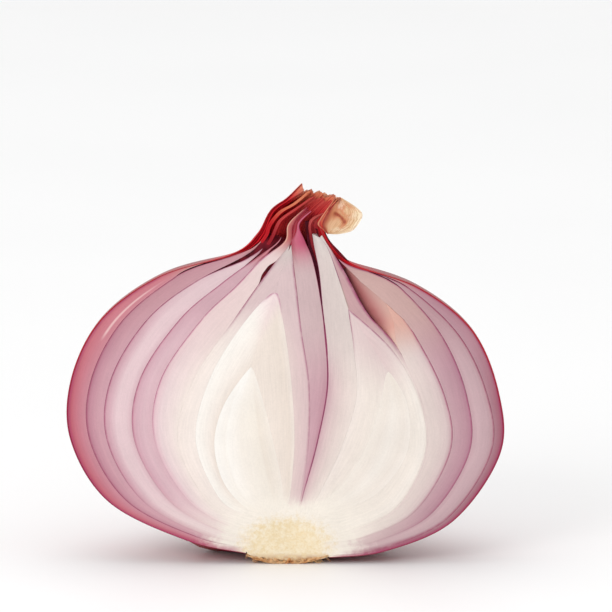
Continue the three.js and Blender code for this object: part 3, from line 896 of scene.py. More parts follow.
def makeStreakGroup():
    # Dry skin: veins run from root to neck at even turns, with long streaks and patches between them. The
    # patches are partly dry skin and partly painted sheen.
    tree, given = newGroup("skinStreaks", ["Veins"], ["Vein", "Streak", "Patch", "Height"])
    uv = addNode(tree, "ShaderNodeUVMap", uv_map="along").outputs[0]
    parts = addNode(tree, "ShaderNodeSeparateXYZ", {0: uv}).outputs
    turn = plus(tree, parts[0], times(tree, attribute(tree, "share"), streakLook["shareTurn"]))
    places = []
    for key in ("lengthways", "patchwise"):
        byTurn, byHeight, layer = streakLook[key]
        places.append(vector(tree, times(tree, turn, byTurn), times(tree, parts[1], byHeight), layer))
    fine = noise(tree, places[0], *streakLook["fine"])
    streak = noise(tree, places[0], *streakLook["streaks"])
    patch = noise(tree, places[1], *streakLook["patches"])
    drift = times(tree, noise(tree, objectPlace(tree), *streakLook["drift"]), streakLook["driftTurn"])
    vein = ridged(tree, plus(tree, times(tree, turn, given["Veins"]), drift), streakLook["veinPower"])
    fineHeight = times(tree, fine, streakLook["fineHeight"])
    height = plus(tree, fineHeight, times(tree, vein, streakLook["veinHeight"]))
    addNode(tree, "NodeGroupOutput", {"Vein": vein, "Streak": streak, "Patch": patch, "Height": height})
    return tree


streakGroup = makeStreakGroup()

paperLook = {
    "streaks": (0.35, 0.65),
    "neckStreaks": (0.3, 0.6),
    "dryStreaks": (0.25, 0.7),
    "patches": (0.5, 0.68),
    "veinShare": 0.35,
    "edges": (0.02, 0.12),
    "roughPatches": (0.4, 0.7),
    "roughMore": 0.2,
    "bump": (0.6, 0.0002),
    "coatRough": 0.25,
}


def skinMaterial(look):
    # Papery skin: crimson broken up by darker veins, brighter streaks and greyish patches that are partly dry
    # skin and partly painted sheen.
    material, tree, shader = newMaterial(look["piece"])
    streaks = useGroup(tree, streakGroup, {"Veins": look["veins"]})
    streak = streaks["Streak"]
    patch = streaks["Patch"]
    share = attribute(tree, "share")
    station = attribute(tree, "station")
    base = mixColour(tree, stepped(tree, streak, *paperLook["streaks"]), look["dark"], look["bright"])
    # Greyish patches: partly the dry skin's own colour, partly a painted sheen of the bright surroundings.
    dryPatchAndSheenMask = stepped(tree, patch, *paperLook["patches"], 0.0, look["patchShare"])
    inNeck = stepped(tree, station, *look["neckFrom"])
    neckStreak = stepped(tree, streak, *paperLook["neckStreaks"])
    neckShade = mixColour(tree, neckStreak, look["neckDark"], look["neckBright"])
    veined = times(tree, streaks["Vein"], paperLook["veinShare"])
    dryTop = stepped(tree, station, *look["dryFrom"])
    dry = times(tree, dryTop, stepped(tree, streak, *paperLook["dryStreaks"]))
    middle = times(tree, share, maths(tree, "SUBTRACT", 1.0, share))
    onCut = stepped(tree, middle, *paperLook["edges"], 0.0, look["cutShare"])
    onCut = times(tree, onCut, stepped(tree, station, *look["cutFades"]))
    cutShade = mixColour(tree, stepped(tree, station, *look["cutTopFrom"]), look["cut"], look["cutTop"])
    layers = [(dryPatchAndSheenMask, look["patch"]), (inNeck, neckShade), (veined, look["vein"]), (dry, look["dry"])]
    base = layered(tree, base, *layers, (onCut, cutShade))
    roughest = look["rough"] + paperLook["roughMore"]
    rough = stepped(tree, patch, *paperLook["roughPatches"], look["rough"], roughest)
    dress(tree, shader, base, rough, streaks["Height"], paperLook["bump"])
    coat = stepped(tree, station, *look["neckFrom"], look["gloss"], 0.0)
    setInput(tree, shader.inputs["Coat Weight"], coat)
    shader.inputs["Coat Roughness"].default_value = paperLook["coatRough"]
    shader.inputs["Specular IOR Level"].default_value = look["shine"]
    return material


def finishPiece(piece, material, node=None):
    piece.data.materials.append(material)
    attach(piece, "root")
    if node:
        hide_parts(node)


# Waves are rows of height, turns, lean and phase.
drySkin = {
    "piece": "drySkin", "tips": (10.0, 10.0), "edge": 0.1, "edgeFrom": (0.5, 2.0), "crown": 0.0, "taper": 0.0,
    "ripples": [(0.2, 9, 0.6, 0.0), (0.13, 17, -1.1, 1.0)], "ripplesFrom": (6.4, 8.6),
    "ragged": [(0.05, 15, 0, 1.0), (0.03, 41, 0, 0.0)],
    "spike": {"height": 1.5, "wide": 0.04, "from": (9.3, 10.0)},
    "strands": 3, "grooves": 0.3, "groovesFrom": (6.7, 7.4), "rough": 0.36, "gloss": 0.25, "shine": 0.25,
    # The greyish patch colour is partly dry skin and partly painted sheen.
    "dark": (112, 2, 18), "bright": (178, 4, 28), "patch": (166, 104, 104), "patchShare": 0.5,
    "vein": (104, 4, 22), "veins": 150.0, "dry": (224, 170, 134), "dryFrom": (9.4, 10.1),
    "cut": (158, 16, 70), "cutTop": (188, 22, 40), "cutTopFrom": (3.2, 5.2), "cutShare": 0.8,
    "cutFades": (7.2, 6.6), "neckDark": (142, 6, 18), "neckBright": (214, 18, 34), "neckFrom": (6.3, 7.2),
}
skinPiece = shellPiece(drySkin, wallFace(0, drySkin), grids["wall"])
finishPiece(skinPiece, skinMaterial(drySkin), "dry_skin")
print("stage: dry skin")

scaleCommon = {
    "edge": 0.05, "edgeFrom": (2.5, 4.5), "crown": 0.02, "fibre": 0.18, "rough": 0.42, "wet": 0.2,
    "film": (146, 24, 66), "yellow": 1.0, "lineWidth": 0.42,
}
# The right ramps are partly the flesh's own colour and partly painted shade, a little darker as light falls
# from the left.
scaleLooks = [
    {
        "piece": "scale1", "node": "scale_1", "slot": "outer_scale", "tips": (6.55, 6.55), "taper": 0.5,
        "left": [(0.0, 176, 58, 80), (0.3, 193, 100, 116), (0.7, 198, 124, 138), (1.0, 199, 134, 147)],
        "right": [(0.0, 150, 72, 96), (0.4, 163, 98, 114), (0.8, 167, 114, 127), (1.0, 170, 120, 131)],
        "leftHigh": (210, 126, 136), "rightHigh": (198, 158, 168), "highFrom": (3.6, 5.0),
        "highShare": 0.45, "streak": (236, 196, 194), "tip": [(0.0, 206, 120, 118), (1.0, 196, 140, 140)],
        "tipFrom": (5.8, 6.5), "rootShare": 0.0, "rootReach": 0.0145,
        "lineColour": (170, 46, 98), "lineWidth": 0.7, "rightLine": 0.45, "lineShare": 0.85,
        "rootLine": (1.7, 2.4), "lineNarrows": (0.6, 2.2), "lineStarts": ((0.0, 0.4), (0.0, 0.4)),
    },
    {
        "piece": "scale2", "node": "scale_2", "slot": "mauve_scale", "tips": (7.75, 6.6), "taper": 0.5,
        "left": [(0.0, 174, 104, 126), (0.25, 192, 134, 149), (0.65, 205, 154, 165), (1.0, 206, 156, 168)],
        "right": [(0.0, 184, 140, 148), (0.25, 194, 160, 166), (0.75, 203, 170, 175), (1.0, 196, 158, 165)],
        "leftHigh": (194, 142, 150), "rightHigh": (180, 134, 141), "highFrom": (4.2, 5.6), "highShare": 0.7,
        "tip": [(0.0, 196, 60, 66), (0.3, 204, 150, 146), (1.0, 150, 70, 80)], "tipFrom": (6.7, 7.6),
        "rootShare": 0.1, "rootReach": 0.0145, "lineColour": (152, 42, 88),
        "lineShare": 0.95, "rootLine": (0.42, 1.4), "lineNarrows": (0.8, 2.6),
        "inside": (92, 12, 28), "insideFrom": (6.0, 6.8), "lineStarts": ((0.2, 1.0), (0.2, 1.0)),
    },
    {
        "piece": "scale3", "node": "scale_3", "slot": "pale_scale", "tips": (7.45, 7.4), "taper": 0.8,
        "left": [
            (0.0, 200, 146, 160), (0.2, 212, 170, 180), (0.45, 229, 200, 204), (0.8, 229, 200, 204),
            (1.0, 218, 180, 188),
        ],
        "right": [(0.0, 176, 118, 138), (0.3, 186, 140, 152), (0.8, 195, 154, 163), (1.0, 196, 158, 165)],
        "leftHigh": (222, 194, 198), "rightHigh": (204, 168, 158), "highFrom": (4.4, 5.8),
        "highShare": 0.75, "tip": [(0.0, 150, 54, 84), (0.4, 196, 142, 154), (1.0, 164, 84, 104)],
        "tipFrom": (6.7, 7.4), "rootShare": 0.5, "yellow": 0.9, "rootReach": 0.0125,
        "lineColour": (158, 50, 100), "lineShare": 0.95, "inside": (92, 12, 28),
        "insideFrom": (6.0, 6.8), "lineStarts": ((1.2, 3.4), (1.0, 3.2)),
    },
    {
        "piece": "scale4", "node": "scale_4", "slot": "mauve_scale", "tips": (8.15, 5.9), "taper": 0.8,
        "left": [(0.0, 208, 156, 170), (0.25, 215, 173, 184), (0.6, 222, 185, 193), (1.0, 218, 178, 187)],
        "right": [(0.0, 196, 158, 165), (0.22, 218, 196, 194), (0.6, 223, 205, 200), (1.0, 226, 209, 203)],
        "leftHigh": (205, 162, 172), "rightHigh": (220, 165, 149), "highFrom": (4.4, 5.4),
        "rightHighFrom": (4.7, 5.5), "highShare": 0.9,
        "tip": [(0.0, 150, 34, 56), (0.5, 206, 130, 142), (1.0, 150, 34, 56)], "tipFrom": (6.5, 7.2),
        "rootShare": 0.97, "rootReach": 0.0125, "lineColour": (168, 58, 106),
        "lineShare": 0.92, "lineEnds": (5.65, 5.1), "inside": (92, 12, 28),
        "insideFrom": (6.0, 6.8), "lineStarts": ((2.2, 3.7), (1.2, 3.4)),
    },
]
for index, own in enumerate(scaleLooks, 1):
    look = {**scaleCommon, **own}
    piece = shellPiece(look, wallFace(index, look), grids["wall"])
    finishPiece(piece, fleshMaterial(look), look["node"])
print("stage: scales of the common wall")

sheathRim = [(0.12, 7, 0, 2.0), (0.05, 33, 0, 0.5)]
nestedCommon = {
    "edge": 0.05, "edgeFrom": (2.5, 4.5), "crown": 0.0, "gap": 0.01, "slits": (0.0, 0.0), "cutEnds": 2.0,
    "fullest": 30.0, "thins": ((9.0, 10.0), (9.0, 10.0)), "fibre": 0.2, "rough": 0.4, "wet": 0.2,
    "rootShare": 1.0, "yellow": 1.0, "rootReach": 0.0125, "slot": "pale_scale", "highShare": 0.9,
    "lineShare": 0.9,
}
# The right ramps are partly the flesh's own colour and partly painted shade, a little darker as light falls
# from the left.
nestedLooks = [
    {
        "piece": "leftScale1", "node": "left_scale_1", "tips": (10.0, 10.0),
        "taper": 0.8, "next": "leftScale2", "heart": "left", "thins": ((7.5, 9.6), (7.4, 8.9)),
        "slits": (0.6, 0.0), "ragged": sheathRim,
        "left": [(0.0, 226, 188, 196), (0.3, 234, 211, 212), (0.7, 240, 222, 218), (1.0, 244, 230, 222)],
        "right": [(0.0, 190, 134, 150), (0.4, 201, 155, 166), (1.0, 205, 162, 172)],
        "leftHigh": (232, 206, 204), "rightHigh": (206, 180, 180), "highFrom": (3.6, 5.2),
        "highShare": 0.85,
        # The pale stop near the outer face of this tip ramp is a painted highlight along the edge of the rib.
        "tip": [
            (0.0, 196, 96, 88), (0.12, 226, 176, 152), (0.3, 190, 96, 90), (0.7, 174, 74, 76),
            (1.0, 150, 38, 52),
        ],
        "rightTip": [(0.0, 164, 44, 84), (0.3, 192, 76, 110), (0.7, 194, 92, 116), (1.0, 160, 50, 70)],
        "tipFrom": (7.1, 8.3), "rightTipFrom": (6.4, 8.0), "inside": (172, 40, 60),
        "insideFrom": (5.6, 6.4), "lineColour": (182, 76, 126), "lineWidth": 0.42, "rightLine": 0.16,
        "lineStarts": ((2.4, 3.9), (1.2, 2.4)), "crown": 0.02, "cutEnds": 1.0,
        "film": (146, 24, 66), "fullest": 6.8, "gap": 0.002,
    },
    {
        "piece": "leftScale2", "node": "left_scale_2", "tips": (7.9, 7.9),
        "taper": 0.3, "next": "leftHeart", "heart": "left", "edgeFrom": (5.0, 6.0),
        "left": [(0.0, 244, 230, 222), (0.5, 246, 233, 225), (1.0, 246, 234, 226)],
        "right": [(0.0, 220, 190, 192), (0.5, 223, 197, 196), (1.0, 228, 206, 202)],
        "leftHigh": (217, 190, 191), "rightHigh": (216, 190, 191), "highFrom": (4.4, 5.7),
        "highShare": 0.95, "tip": [(0.0, 204, 186, 184), (1.0, 212, 196, 192)], "tipFrom": (6.6, 7.6),
        "lineColour": (166, 90, 120), "lineWidth": 0.55,
        "lineStarts": ((4.5, 5.4), (1.8, 3.4)), "inside": (112, 16, 36), "insideFrom": (5.6, 6.4),
        "gap": 0.002,
    },
    {
        "piece": "leftHeart", "node": "left_heart", "slot": "heart", "tips": (6.0, 6.0), "taper": 0.0,
        "next": "leftCore", "heart": "left",
        "left": [(0.0, 252, 247, 240), (0.35, 251, 244, 236), (0.7, 247, 237, 228), (1.0, 240, 227, 216)],
        "right": [(0.0, 241, 228, 218), (0.2, 236, 222, 210), (1.0, 240, 227, 216)],
        "leftHigh": (242, 220, 220), "rightHigh": (240, 216, 218), "highFrom": (5.2, 5.95),
        "tip": [(0.0, 196, 130, 156), (1.0, 236, 210, 216)], "tipFrom": (5.9, 6.05),
        "lineColour": (188, 116, 148), "lineWidth": 0.5, "lineShare": 0.85,
        "lineStarts": ((5.5, 5.9), (5.0, 5.7)), "edge": 0.0, "gap": 0.0,
    },
    {
        "piece": "rightScale1", "node": "right_scale_1", "tips": (8.95, 8.95),
        "taper": 0.2, "next": "rightHeart", "heart": "right",
        "left": [(0.0, 206, 166, 174), (0.25, 222, 196, 195), (0.6, 230, 212, 206), (1.0, 238, 224, 216)],
        "right": [(0.0, 226, 206, 202), (0.5, 228, 210, 205), (1.0, 236, 222, 214)],
        "leftHigh": (216, 201, 196), "rightHigh": (194, 148, 152), "highFrom": (4.0, 5.4),
        "rightHighFrom": (4.4, 5.8), "seam": (126, 48, 96), "seamFoot": (172, 146, 138),
        "tip": [(0.0, 196, 178, 176), (0.5, 222, 212, 206), (1.0, 206, 190, 188)], "tipFrom": (7.2, 8.6),
        "lineColour": (152, 44, 96), "lineWidth": 0.16, "rightLine": 0.85, "lineShare": 1.0,
        "lineStarts": ((1.0, 2.2), (4.6, 5.4)),
    },
    {
        "piece": "rightHeart", "node": "right_heart", "slot": "heart", "tips": (6.0, 6.0), "taper": 0.0,
        "next": "rightCore", "heart": "right",
        "left": [(0.0, 242, 230, 222), (0.3, 241, 229, 220), (0.8, 239, 228, 218), (1.0, 242, 232, 222)],
        "right": [(0.0, 238, 226, 217), (0.15, 243, 234, 225), (0.6, 242, 232, 222), (1.0, 239, 229, 219)],
        "leftHigh": (221, 197, 196), "rightHigh": (221, 194, 194), "highFrom": (4.0, 5.5),
        "tip": [(0.0, 160, 80, 120), (1.0, 214, 180, 186)], "tipFrom": (5.85, 6.05),
        "lineColour": (158, 70, 112), "lineWidth": 0.5,
        "lineStarts": ((4.6, 5.6), (4.6, 5.4)), "edge": 0.0, "gap": 0.0,
    },
]
for own in nestedLooks:
    look = {**nestedCommon, **own}
    piece = shellPiece(look, nestedFace(look), grids["heart"])
    finishPiece(piece, fleshMaterial(look), look["node"])
print("stage: hearts and their scales")

coreCommon = {
    "slot": "heart", "tips": (5.0, 5.0), "edge": 0.0, "crown": 0.0, "sunk": 0.0, "highFrom": (3.6, 4.9),
    "highShare": 0.7, "tip": [(0.0, 246, 236, 226), (1.0, 246, 236, 226)], "tipFrom": (4.9, 5.1),
    "rootShare": 1.0, "yellow": 1.0, "rootReach": 0.0125, "lineColour": (250, 243, 235), "lineWidth": 0.2,
    "lineShare": 0.3, "lineStarts": ((1.0, 2.0), (1.0, 2.0)), "fibre": 0.12, "rough": 0.4, "wet": 0.2,
}
# The right core's colours are a little darker than the left's: painted shade of light that falls from the
# left.
coreLooks = [
    {
        "piece": "leftCore", "node": "left_core", "heart": "left",
        "left": [(0.0, 254, 250, 244), (0.35, 251, 245, 237), (0.45, 254, 249, 242), (1.0, 248, 240, 230)],
        "right": [(0.0, 243, 233, 222), (0.4, 240, 229, 216), (0.5, 245, 236, 224), (1.0, 247, 239, 228)],
        "leftHigh": (255, 252, 247), "rightHigh": (250, 243, 235),
    },
    {
        "piece": "rightCore", "node": "right_core", "heart": "right",
        "left": [(0.0, 243, 234, 224), (0.5, 241, 231, 221), (1.0, 245, 237, 228)],
        "right": [(0.0, 244, 235, 226), (0.4, 241, 231, 221), (1.0, 245, 237, 228)],
        "leftHigh": (238, 226, 216), "rightHigh": (238, 226, 214),
    },
]
for own in coreLooks:
    look = {**coreCommon, **own}
    piece = solidPiece(look, bulb["heartRatio"][look["heart"]], grids["core"])
    finishPiece(piece, fleshMaterial(look), look["node"])
print("stage: cores")


def sheathFace(look):
    # A thin sheet: a half ring between two edge curves, moved inward by share*thick, less folds that grow
    # upward, and at the right by rightThick times as much. Its cut edges lie back by back, and at their lower
    # ends by foot more.
    def faceAt(share, station, angle, tip):
        left = curveAt(look["leftEdge"], station)
        right = curveAt(look["rightEdge"], station)
        across = right - left
        rim = look["rimThick"]
        thick = look["thick"] * (rim + (1 - rim) * taperAt(tip, station, look["taper"]))
        move = share * thick - waves(look["folds"], angle, station) * smooth(station, *look["foldsFrom"])
        shift = across * (move / lengthOf(across))[..., None]
        points = ringPoints(left + shift, right - look["rightThick"] * shift, look["ratio"], angle)
        low = 1 - smooth(station, *look["footEnds"])
        points[..., 1] += look["back"] + look["foot"] * low * (1 - np.sin(angle))
        return points

    return faceAt


sheathCommon = {
    "edge": 0.2, "edgeFrom": (0.0, 0.1), "crown": 0.0, "taper": 1.2, "rimThick": 0.25, "rightThick": 0.5,
    # The lighter red patch colour is partly the sheath's own colour and partly painted sheen.
    "foldsFrom": (0.0, 1.5), "footEnds": (0.0, 1.4), "ragged": sheathRim, "patch": (206, 92, 88),
    "patchShare": 0.4, "veins": 60.0, "rough": 0.5, "gloss": 0.0, "shine": 0.15, "cutFades": (12.0, 11.0),
    "neckFrom": (20.0, 21.0), "neckDark": (142, 6, 18), "neckBright": (214, 18, 34),
}
sheathLooks = [
    {
        "piece": "neckSheath1", "tips": (5.9, 5.8), "ratio": 0.74, "thick": 0.7,
        "folds": [(0.06, 11, 1, 0), (0.04, 19, -2, 0)], "back": 0.0, "foot": 1.6,
        "leftEdge": [
            (-6.2, 57.6), (-4.9, 58.8), (-3.8, 60.4), (-3.1, 62.2), (-1.1, 64.6), (1.4, 66.1), (4.3, 68.4),
        ],
        "rightEdge": [
            (12.2, 54.6), (10.0, 56.4), (8.1, 58.8), (7.1, 60.9), (6.8, 62.5), (7.7, 64.5), (9.6, 67.0),
        ],
        "dark": (170, 10, 24), "bright": (224, 36, 42), "vein": (128, 6, 16), "dry": (224, 150, 108),
        # The orange cut edge towards the top is partly the dry edge's own tan and partly a painted highlight.
        "dryFrom": (4.4, 6.2), "cut": (186, 18, 30), "cutTop": (224, 142, 102), "cutTopFrom": (3.0, 5.0),
        "cutShare": 0.7,
    },
    {
        "piece": "neckSheath2", "tips": (5.9, 5.8), "ratio": 0.68, "thick": 0.6,
        "folds": [(0.072, 9, 1, 0), (0.048, 19, -2, 0)], "back": 0.0, "foot": 1.6,
        "leftEdge": [
            (-4.2, 57.2), (-3.6, 58.4), (-2.8, 59.8), (-1.9, 61.7), (-0.8, 63.3), (1.8, 65.2), (4.9, 67.3),
        ],
        "rightEdge": [
            (11.2, 54.8), (9.4, 56.6), (7.7, 58.9), (6.8, 60.9), (6.5, 62.4), (7.4, 64.2), (9.3, 66.5),
        ],
        "dark": (158, 16, 28), "bright": (206, 48, 50), "vein": (112, 8, 20), "dry": (206, 98, 84),
        "dryFrom": (4.6, 6.6), "cut": (142, 24, 38), "cutTop": (196, 72, 70), "cutTopFrom": (1.8, 4.4),
        "cutShare": 0.8,
    },
    {
        "piece": "neckSheath3", "tips": (4.9, 4.9), "ratio": 0.8, "thick": 0.5,
        "folds": [(0.048, 7, 1, 0), (0.032, 19, -2, 0)], "back": 0.7, "foot": 0.8,
        "leftEdge": [(6.0, 54.0), (4.9, 57.6), (4.3, 60.2), (4.2, 62.2), (5.0, 63.4), (7.2, 64.4)],
        "rightEdge": [(8.0, 54.0), (7.6, 57.2), (6.9, 59.9), (6.3, 61.3), (6.5, 62.6), (8.1, 64.3)],
        "dark": (150, 24, 36), "bright": (196, 60, 64), "vein": (110, 12, 22), "dry": (206, 110, 98),
        "dryFrom": (3.0, 5.0), "cut": (150, 40, 52), "cutTop": (194, 88, 84), "cutTopFrom": (1.4, 3.6),
        "cutShare": 0.7,
    },
]
for own in sheathLooks:
    look = {**sheathCommon, **own}
    piece = shellPiece(look, sheathFace(look), grids["sheath"])
    finishPiece(piece, skinMaterial(look))
print("stage: neck sheaths")

leafTurn = 0.3  # how much of the turn round the bulb a leaf's width takes up, for its veins


def leafPiece(look, bend, crumple=None):
    # A thin leaf between two edge curves: y is set by the bend, and the back lies thick behind the front.
    grid = look["grid"]
    spans = len(look["fold"]) - 1
    along = np.linspace(0, spans, grid["along"] + 1)[:, None]
    steps = np.linspace(0, 1, grid["across"] + 1)
    across = np.concatenate([steps, steps[::-1]])
    isBack = np.concatenate([np.zeros(steps.size), np.ones(steps.size)])
    station = np.broadcast_to(along, (along.size, across.size))
    acrossGrid = np.broadcast_to(across, station.shape)
    fold = curveAt(look["fold"], station)
    rim = curveAt(look["rim"], station)
    place = fold + (rim - fold) * across[None, :, None]
    lengthways = station / spans
    y = bend(look, acrossGrid, lengthways) + isBack * look["thick"]
    points = stacked(place[..., 0], y, place[..., 1])
    uv = stacked(acrossGrid * leafTurn, lengthways)
    attributes = {"station": station, "share": acrossGrid}
    if crumple:
        attributes["crease"] = crumple(look, acrossGrid, lengthways)
    rows, count = station.shape
    faces = loopFaces(rows, count)
    half = np.arange(steps.size - 1)
    strip = np.stack([half, half + 1, count - 2 - half, count - 1 - half], axis=1)
    faces += strip[:, ::-1].tolist() + (strip + (rows - 1) * count).tolist()
    return makeMesh(look["piece"], points, faces, attributes, uv)


flapLook = {
    "piece": "neckTip", "grid": {"along": 110, "across": 90}, "thick": 0.3,
    "fold": [(7.7, 60.5), (6.8, 61.4), (5.9, 62.3), (6.3, 63.3), (7.4, 64.9), (8.9, 66.9)],
    "rim": [(7.9, 60.6), (10.0, 60.6), (12.3, 61.4), (13.9, 63.9), (12.9, 65.4), (10.3, 67.1)],
    "front": -0.2, "step": 0.4, "stepAt": (0.0, 0.3), "bow": 0.9, "bowEnds": 0.4, "curl": 0.5,
    "broad": 0.3, "broadWaves": ((5.5, 4, 0.5), (2, 6, 0)),
    "narrowWaves": [(0.16, 13, -5, 1), (0.1, 9, 17, 0)], "crumplesFrom": (0.1, 0.4),
    "fineWave": (0.06, 41, 6), "fineSway": (4, 5), "fineFrom": (0.35, 0.7),
    "crease": {"deep": 0.42, "at": 1.38, "lean": 1.5, "wide": 0.055},
    "creaseFrom": (0.42, 0.54), "creaseTo": (0.58, 0.74),
    # The dark red band just beside the fold is partly the leaf's own red and partly painted shade.
    "ramp": [
        (0.0, 226, 150, 112), (0.05, 176, 60, 56), (0.14, 158, 42, 44), (0.22, 196, 116, 86),
        (0.32, 222, 180, 140), (0.6, 228, 192, 152), (0.9, 234, 210, 172), (1.0, 250, 238, 216),
    ],
    "blots": (420.0, 4.0, 0.6), "rust": (212, 136, 98), "rustFrom": (1.6, 3.0),
    "rustShares": ((0.9, 0.55), (0.2, 0.35)), "rustBlots": (0.35, 0.55, 0.15, 0.95),
    "pale": (248, 234, 206), "paleBlots": (0.5, 0.66, 0.0, 0.6), "paleShares": (0.3, 0.45),
    "vein": (190, 128, 88), "veins": 70.0, "veinShare": 0.25, "rimVein": (186, 140, 88), "rimVeins": 46.0,
    "rimDrift": 14.0, "rimPower": 6.0, "rimFrom": (0.4, 0.75, 0.15, 0.6),
    # Browner and darker colours in the creases are painted shade.
    "creaseShades": [((0.05, 0.4, 0.0, 0.7), (206, 126, 86)), ((0.28, 0.6, 0.0, 0.85), (160, 64, 42))],
    "rough": 0.6, "bump": (0.5, 0.0003),
}


def flapCrumple(look, across, lengthways):
    # Crumples of the dry flap: crossing sines, faded out at the fold, and one deep crease, a bell curve that
    # leans across it.
    broad = look["broad"] * crossed(*look["broadWaves"], across, lengthways)
    narrow = waves(look["narrowWaves"], across, lengthways)
    sway, turns = look["fineSway"]
    fine = waves([(*look["fineWave"], sway * np.sin(turns * lengthways))], across, lengthways)
    fine = fine * smooth(across, *look["fineFrom"])
    crease = look["crease"]
    deep = crease["deep"] * bell(across + crease["lean"] * lengthways, crease["at"], crease["wide"])
    deep = deep * smooth(lengthways, *look["creaseFrom"]) * (1 - smooth(lengthways, *look["creaseTo"]))
    return (broad + narrow + fine) * smooth(across, *look["crumplesFrom"]) + deep


def flapBend(look, across, lengthways):
    # The dry flap bows back in its middle by sines and curls forward with the cube of the way to its rim. The
    # crumples come on top.
    ends = look["bowEnds"]
    bow = look["bow"] * np.sin(np.pi * across) * (ends + (1 - ends) * np.sin(np.pi * lengthways))
    start = look["front"] + look["step"] * smooth(across, *look["stepAt"])
    return start + bow - look["curl"] * across**3 + flapCrumple(look, across, lengthways)


def flapMaterial(look):
    # Dry leaf: cream with a rusty zone beside the fold, fine lines along it, a pale thin rim and painted
    # shade in the creases.
    material, tree, shader = newMaterial("dryTip")
    share = attribute(tree, "share")
    blot = noise(tree, objectPlace(tree), *look["blots"])
    base = colourRamp(tree, share, look["ramp"])
    rust = times(tree, within(tree, share, *look["rustShares"]), stepped(tree, blot, *look["rustBlots"]))
    rust = times(tree, rust, stepped(tree, attribute(tree, "station"), *look["rustFrom"]))
    pale = times(tree, stepped(tree, blot, *look["paleBlots"]), stepped(tree, share, *look["paleShares"]))
    vein = useGroup(tree, streakGroup, {"Veins": look["veins"]})["Vein"]
    vein = times(tree, vein, look["veinShare"])
    wander = plus(tree, times(tree, share, look["rimVeins"]), times(tree, blot, look["rimDrift"]))
    rimVein = times(tree, ridged(tree, wander, look["rimPower"]), stepped(tree, share, *look["rimFrom"]))
    layers = [(rust, look["rust"]), (pale, look["pale"]), (vein, look["vein"]), (rimVein, look["rimVein"])]
    # Painted shade: the deeper a crease lies, the darker its colour.
    crease = attribute(tree, "crease")
    for span, shade in look["creaseShades"]:
        layers.append((stepped(tree, crease, *span), shade))
    dress(tree, shader, layered(tree, base, *layers), look["rough"], blot, look["bump"])
    return material


finishPiece(leafPiece(flapLook, flapBend, flapCrumple), flapMaterial(flapLook), "neck_tip")
print("stage: neck flap")


def membraneBend(look, across, lengthways):
    # A membrane lies front behind the cut face, sinks by deep*(1 - across)^curve along its length, slants
    # across its width and is rippled by sines.
    sinks = look["deep"] * (1 - across) ** look["curve"] * smooth(lengthways, *look["deepFrom"])
    return look["front"] + sinks + look["slant"] * across + waves(look["ripples"], across, lengthways)


def membraneMaterial(name, look):
    # Thin skin: a ramp of colours along it, a darker colour of painted shade where it lies deep, and clouds
    # of a third.
    material, tree, shader = newMaterial(name)
    station = attribute(tree, "station")
    base = colourRamp(tree, maths(tree, "DIVIDE", station, len(look["fold"]) - 1.0), look["ramp"])
    # Painted shade: where the hollow lies deep, its colour is laid darker.
    if "deepShade" in look:
        low = stepped(tree, attribute(tree, "share"), *look["deepShares"])
        low = times(tree, low, stepped(tree, station, *look["deepStations"]))
        base = mixColour(tree, low, base, look["deepShade"])
    cloud = noise(tree, objectPlace(tree), look["cloudScale"])
    base = mixColour(tree, stepped(tree, cloud, *look["cloudSteps"]), base, look["clouds"])
    dress(tree, shader, base, look["rough"], cloud, look.get("bump"))
    shader.inputs["Specular IOR Level"].default_value = look["shine"]
    return material


membraneCommon = {"curve": 0.0, "slant": 0.0, "ripples": [], "rough": 0.6, "shine": 0.1}
hollowLook = {
    **membraneCommon, "piece": "hollowSkin", "grid": {"along": 60, "across": 24}, "thick": 0.5,
    "fold": [(20.3, 38.4), (17.9, 42.4), (14.8, 46.2), (12.6, 50.0), (10.7, 53.6), (9.0, 55.8)],
    "rim": [(21.6, 39.4), (20.0, 44.4), (17.6, 48.8), (14.8, 51.8), (11.8, 54.3), (9.8, 55.8)],
    "front": 0.06, "deep": 1.7, "curve": 1.4, "deepFrom": (0.0, 0.45),
    # The ramp darkens towards the top, where the hollow lies deepest: partly the skin's own colour, partly
    # painted shade.
    "ramp": [
        (0.0, 227, 206, 197), (0.06, 225, 200, 189), (0.11, 222, 186, 172), (0.2, 217, 162, 147),
        (0.3, 203, 160, 148), (0.45, 194, 154, 146), (0.65, 184, 140, 134), (1.0, 168, 108, 108),
    ],
    "deepShade": (184, 108, 108), "deepShares": (0.98, 0.2), "deepStations": (0.6, 1.6, 0.0, 0.9),
    "clouds": (200, 152, 140), "cloudScale": 500.0, "cloudSteps": (0.35, 0.7, 0.0, 0.15),
    "rough": 0.45, "shine": 0.5, "bump": (0.3, 0.0002),
}
dividerLook = {
    **membraneCommon, "piece": "heartDivider", "grid": {"along": 80, "across": 6}, "thick": 0.3,
    "fold": [
        (2.6, 12.6), (5.0, 21.0), (6.8, 30.0), (7.0, 37.4), (6.5, 44.4), (5.7, 50.6), (4.5, 55.6),
        (3.6, 62.6),
    ],
    "rim": [
        (3.7, 12.6), (6.0, 21.0), (8.0, 30.0), (8.2, 37.4), (7.6, 44.4), (6.9, 50.6), (6.3, 55.6),
        (4.4, 62.6),
    ],
    "front": 0.12, "deep": 1.5, "deepFrom": (0.5, 1.0), "slant": 0.05,
    # The magenta at the foot is the skin's own colour; the near black maroon towards the top, where the
    # divider sinks deep, is partly its own dark red and partly painted shade.
    "ramp": [
        (0.0, 176, 104, 136), (0.5, 162, 74, 110), (0.75, 104, 28, 50), (0.9, 84, 12, 26),
        (1.0, 84, 10, 22),
    ],
    "clouds": (150, 60, 92), "cloudScale": 700.0, "cloudSteps": (0.3, 0.7, 0.0, 0.3),
}
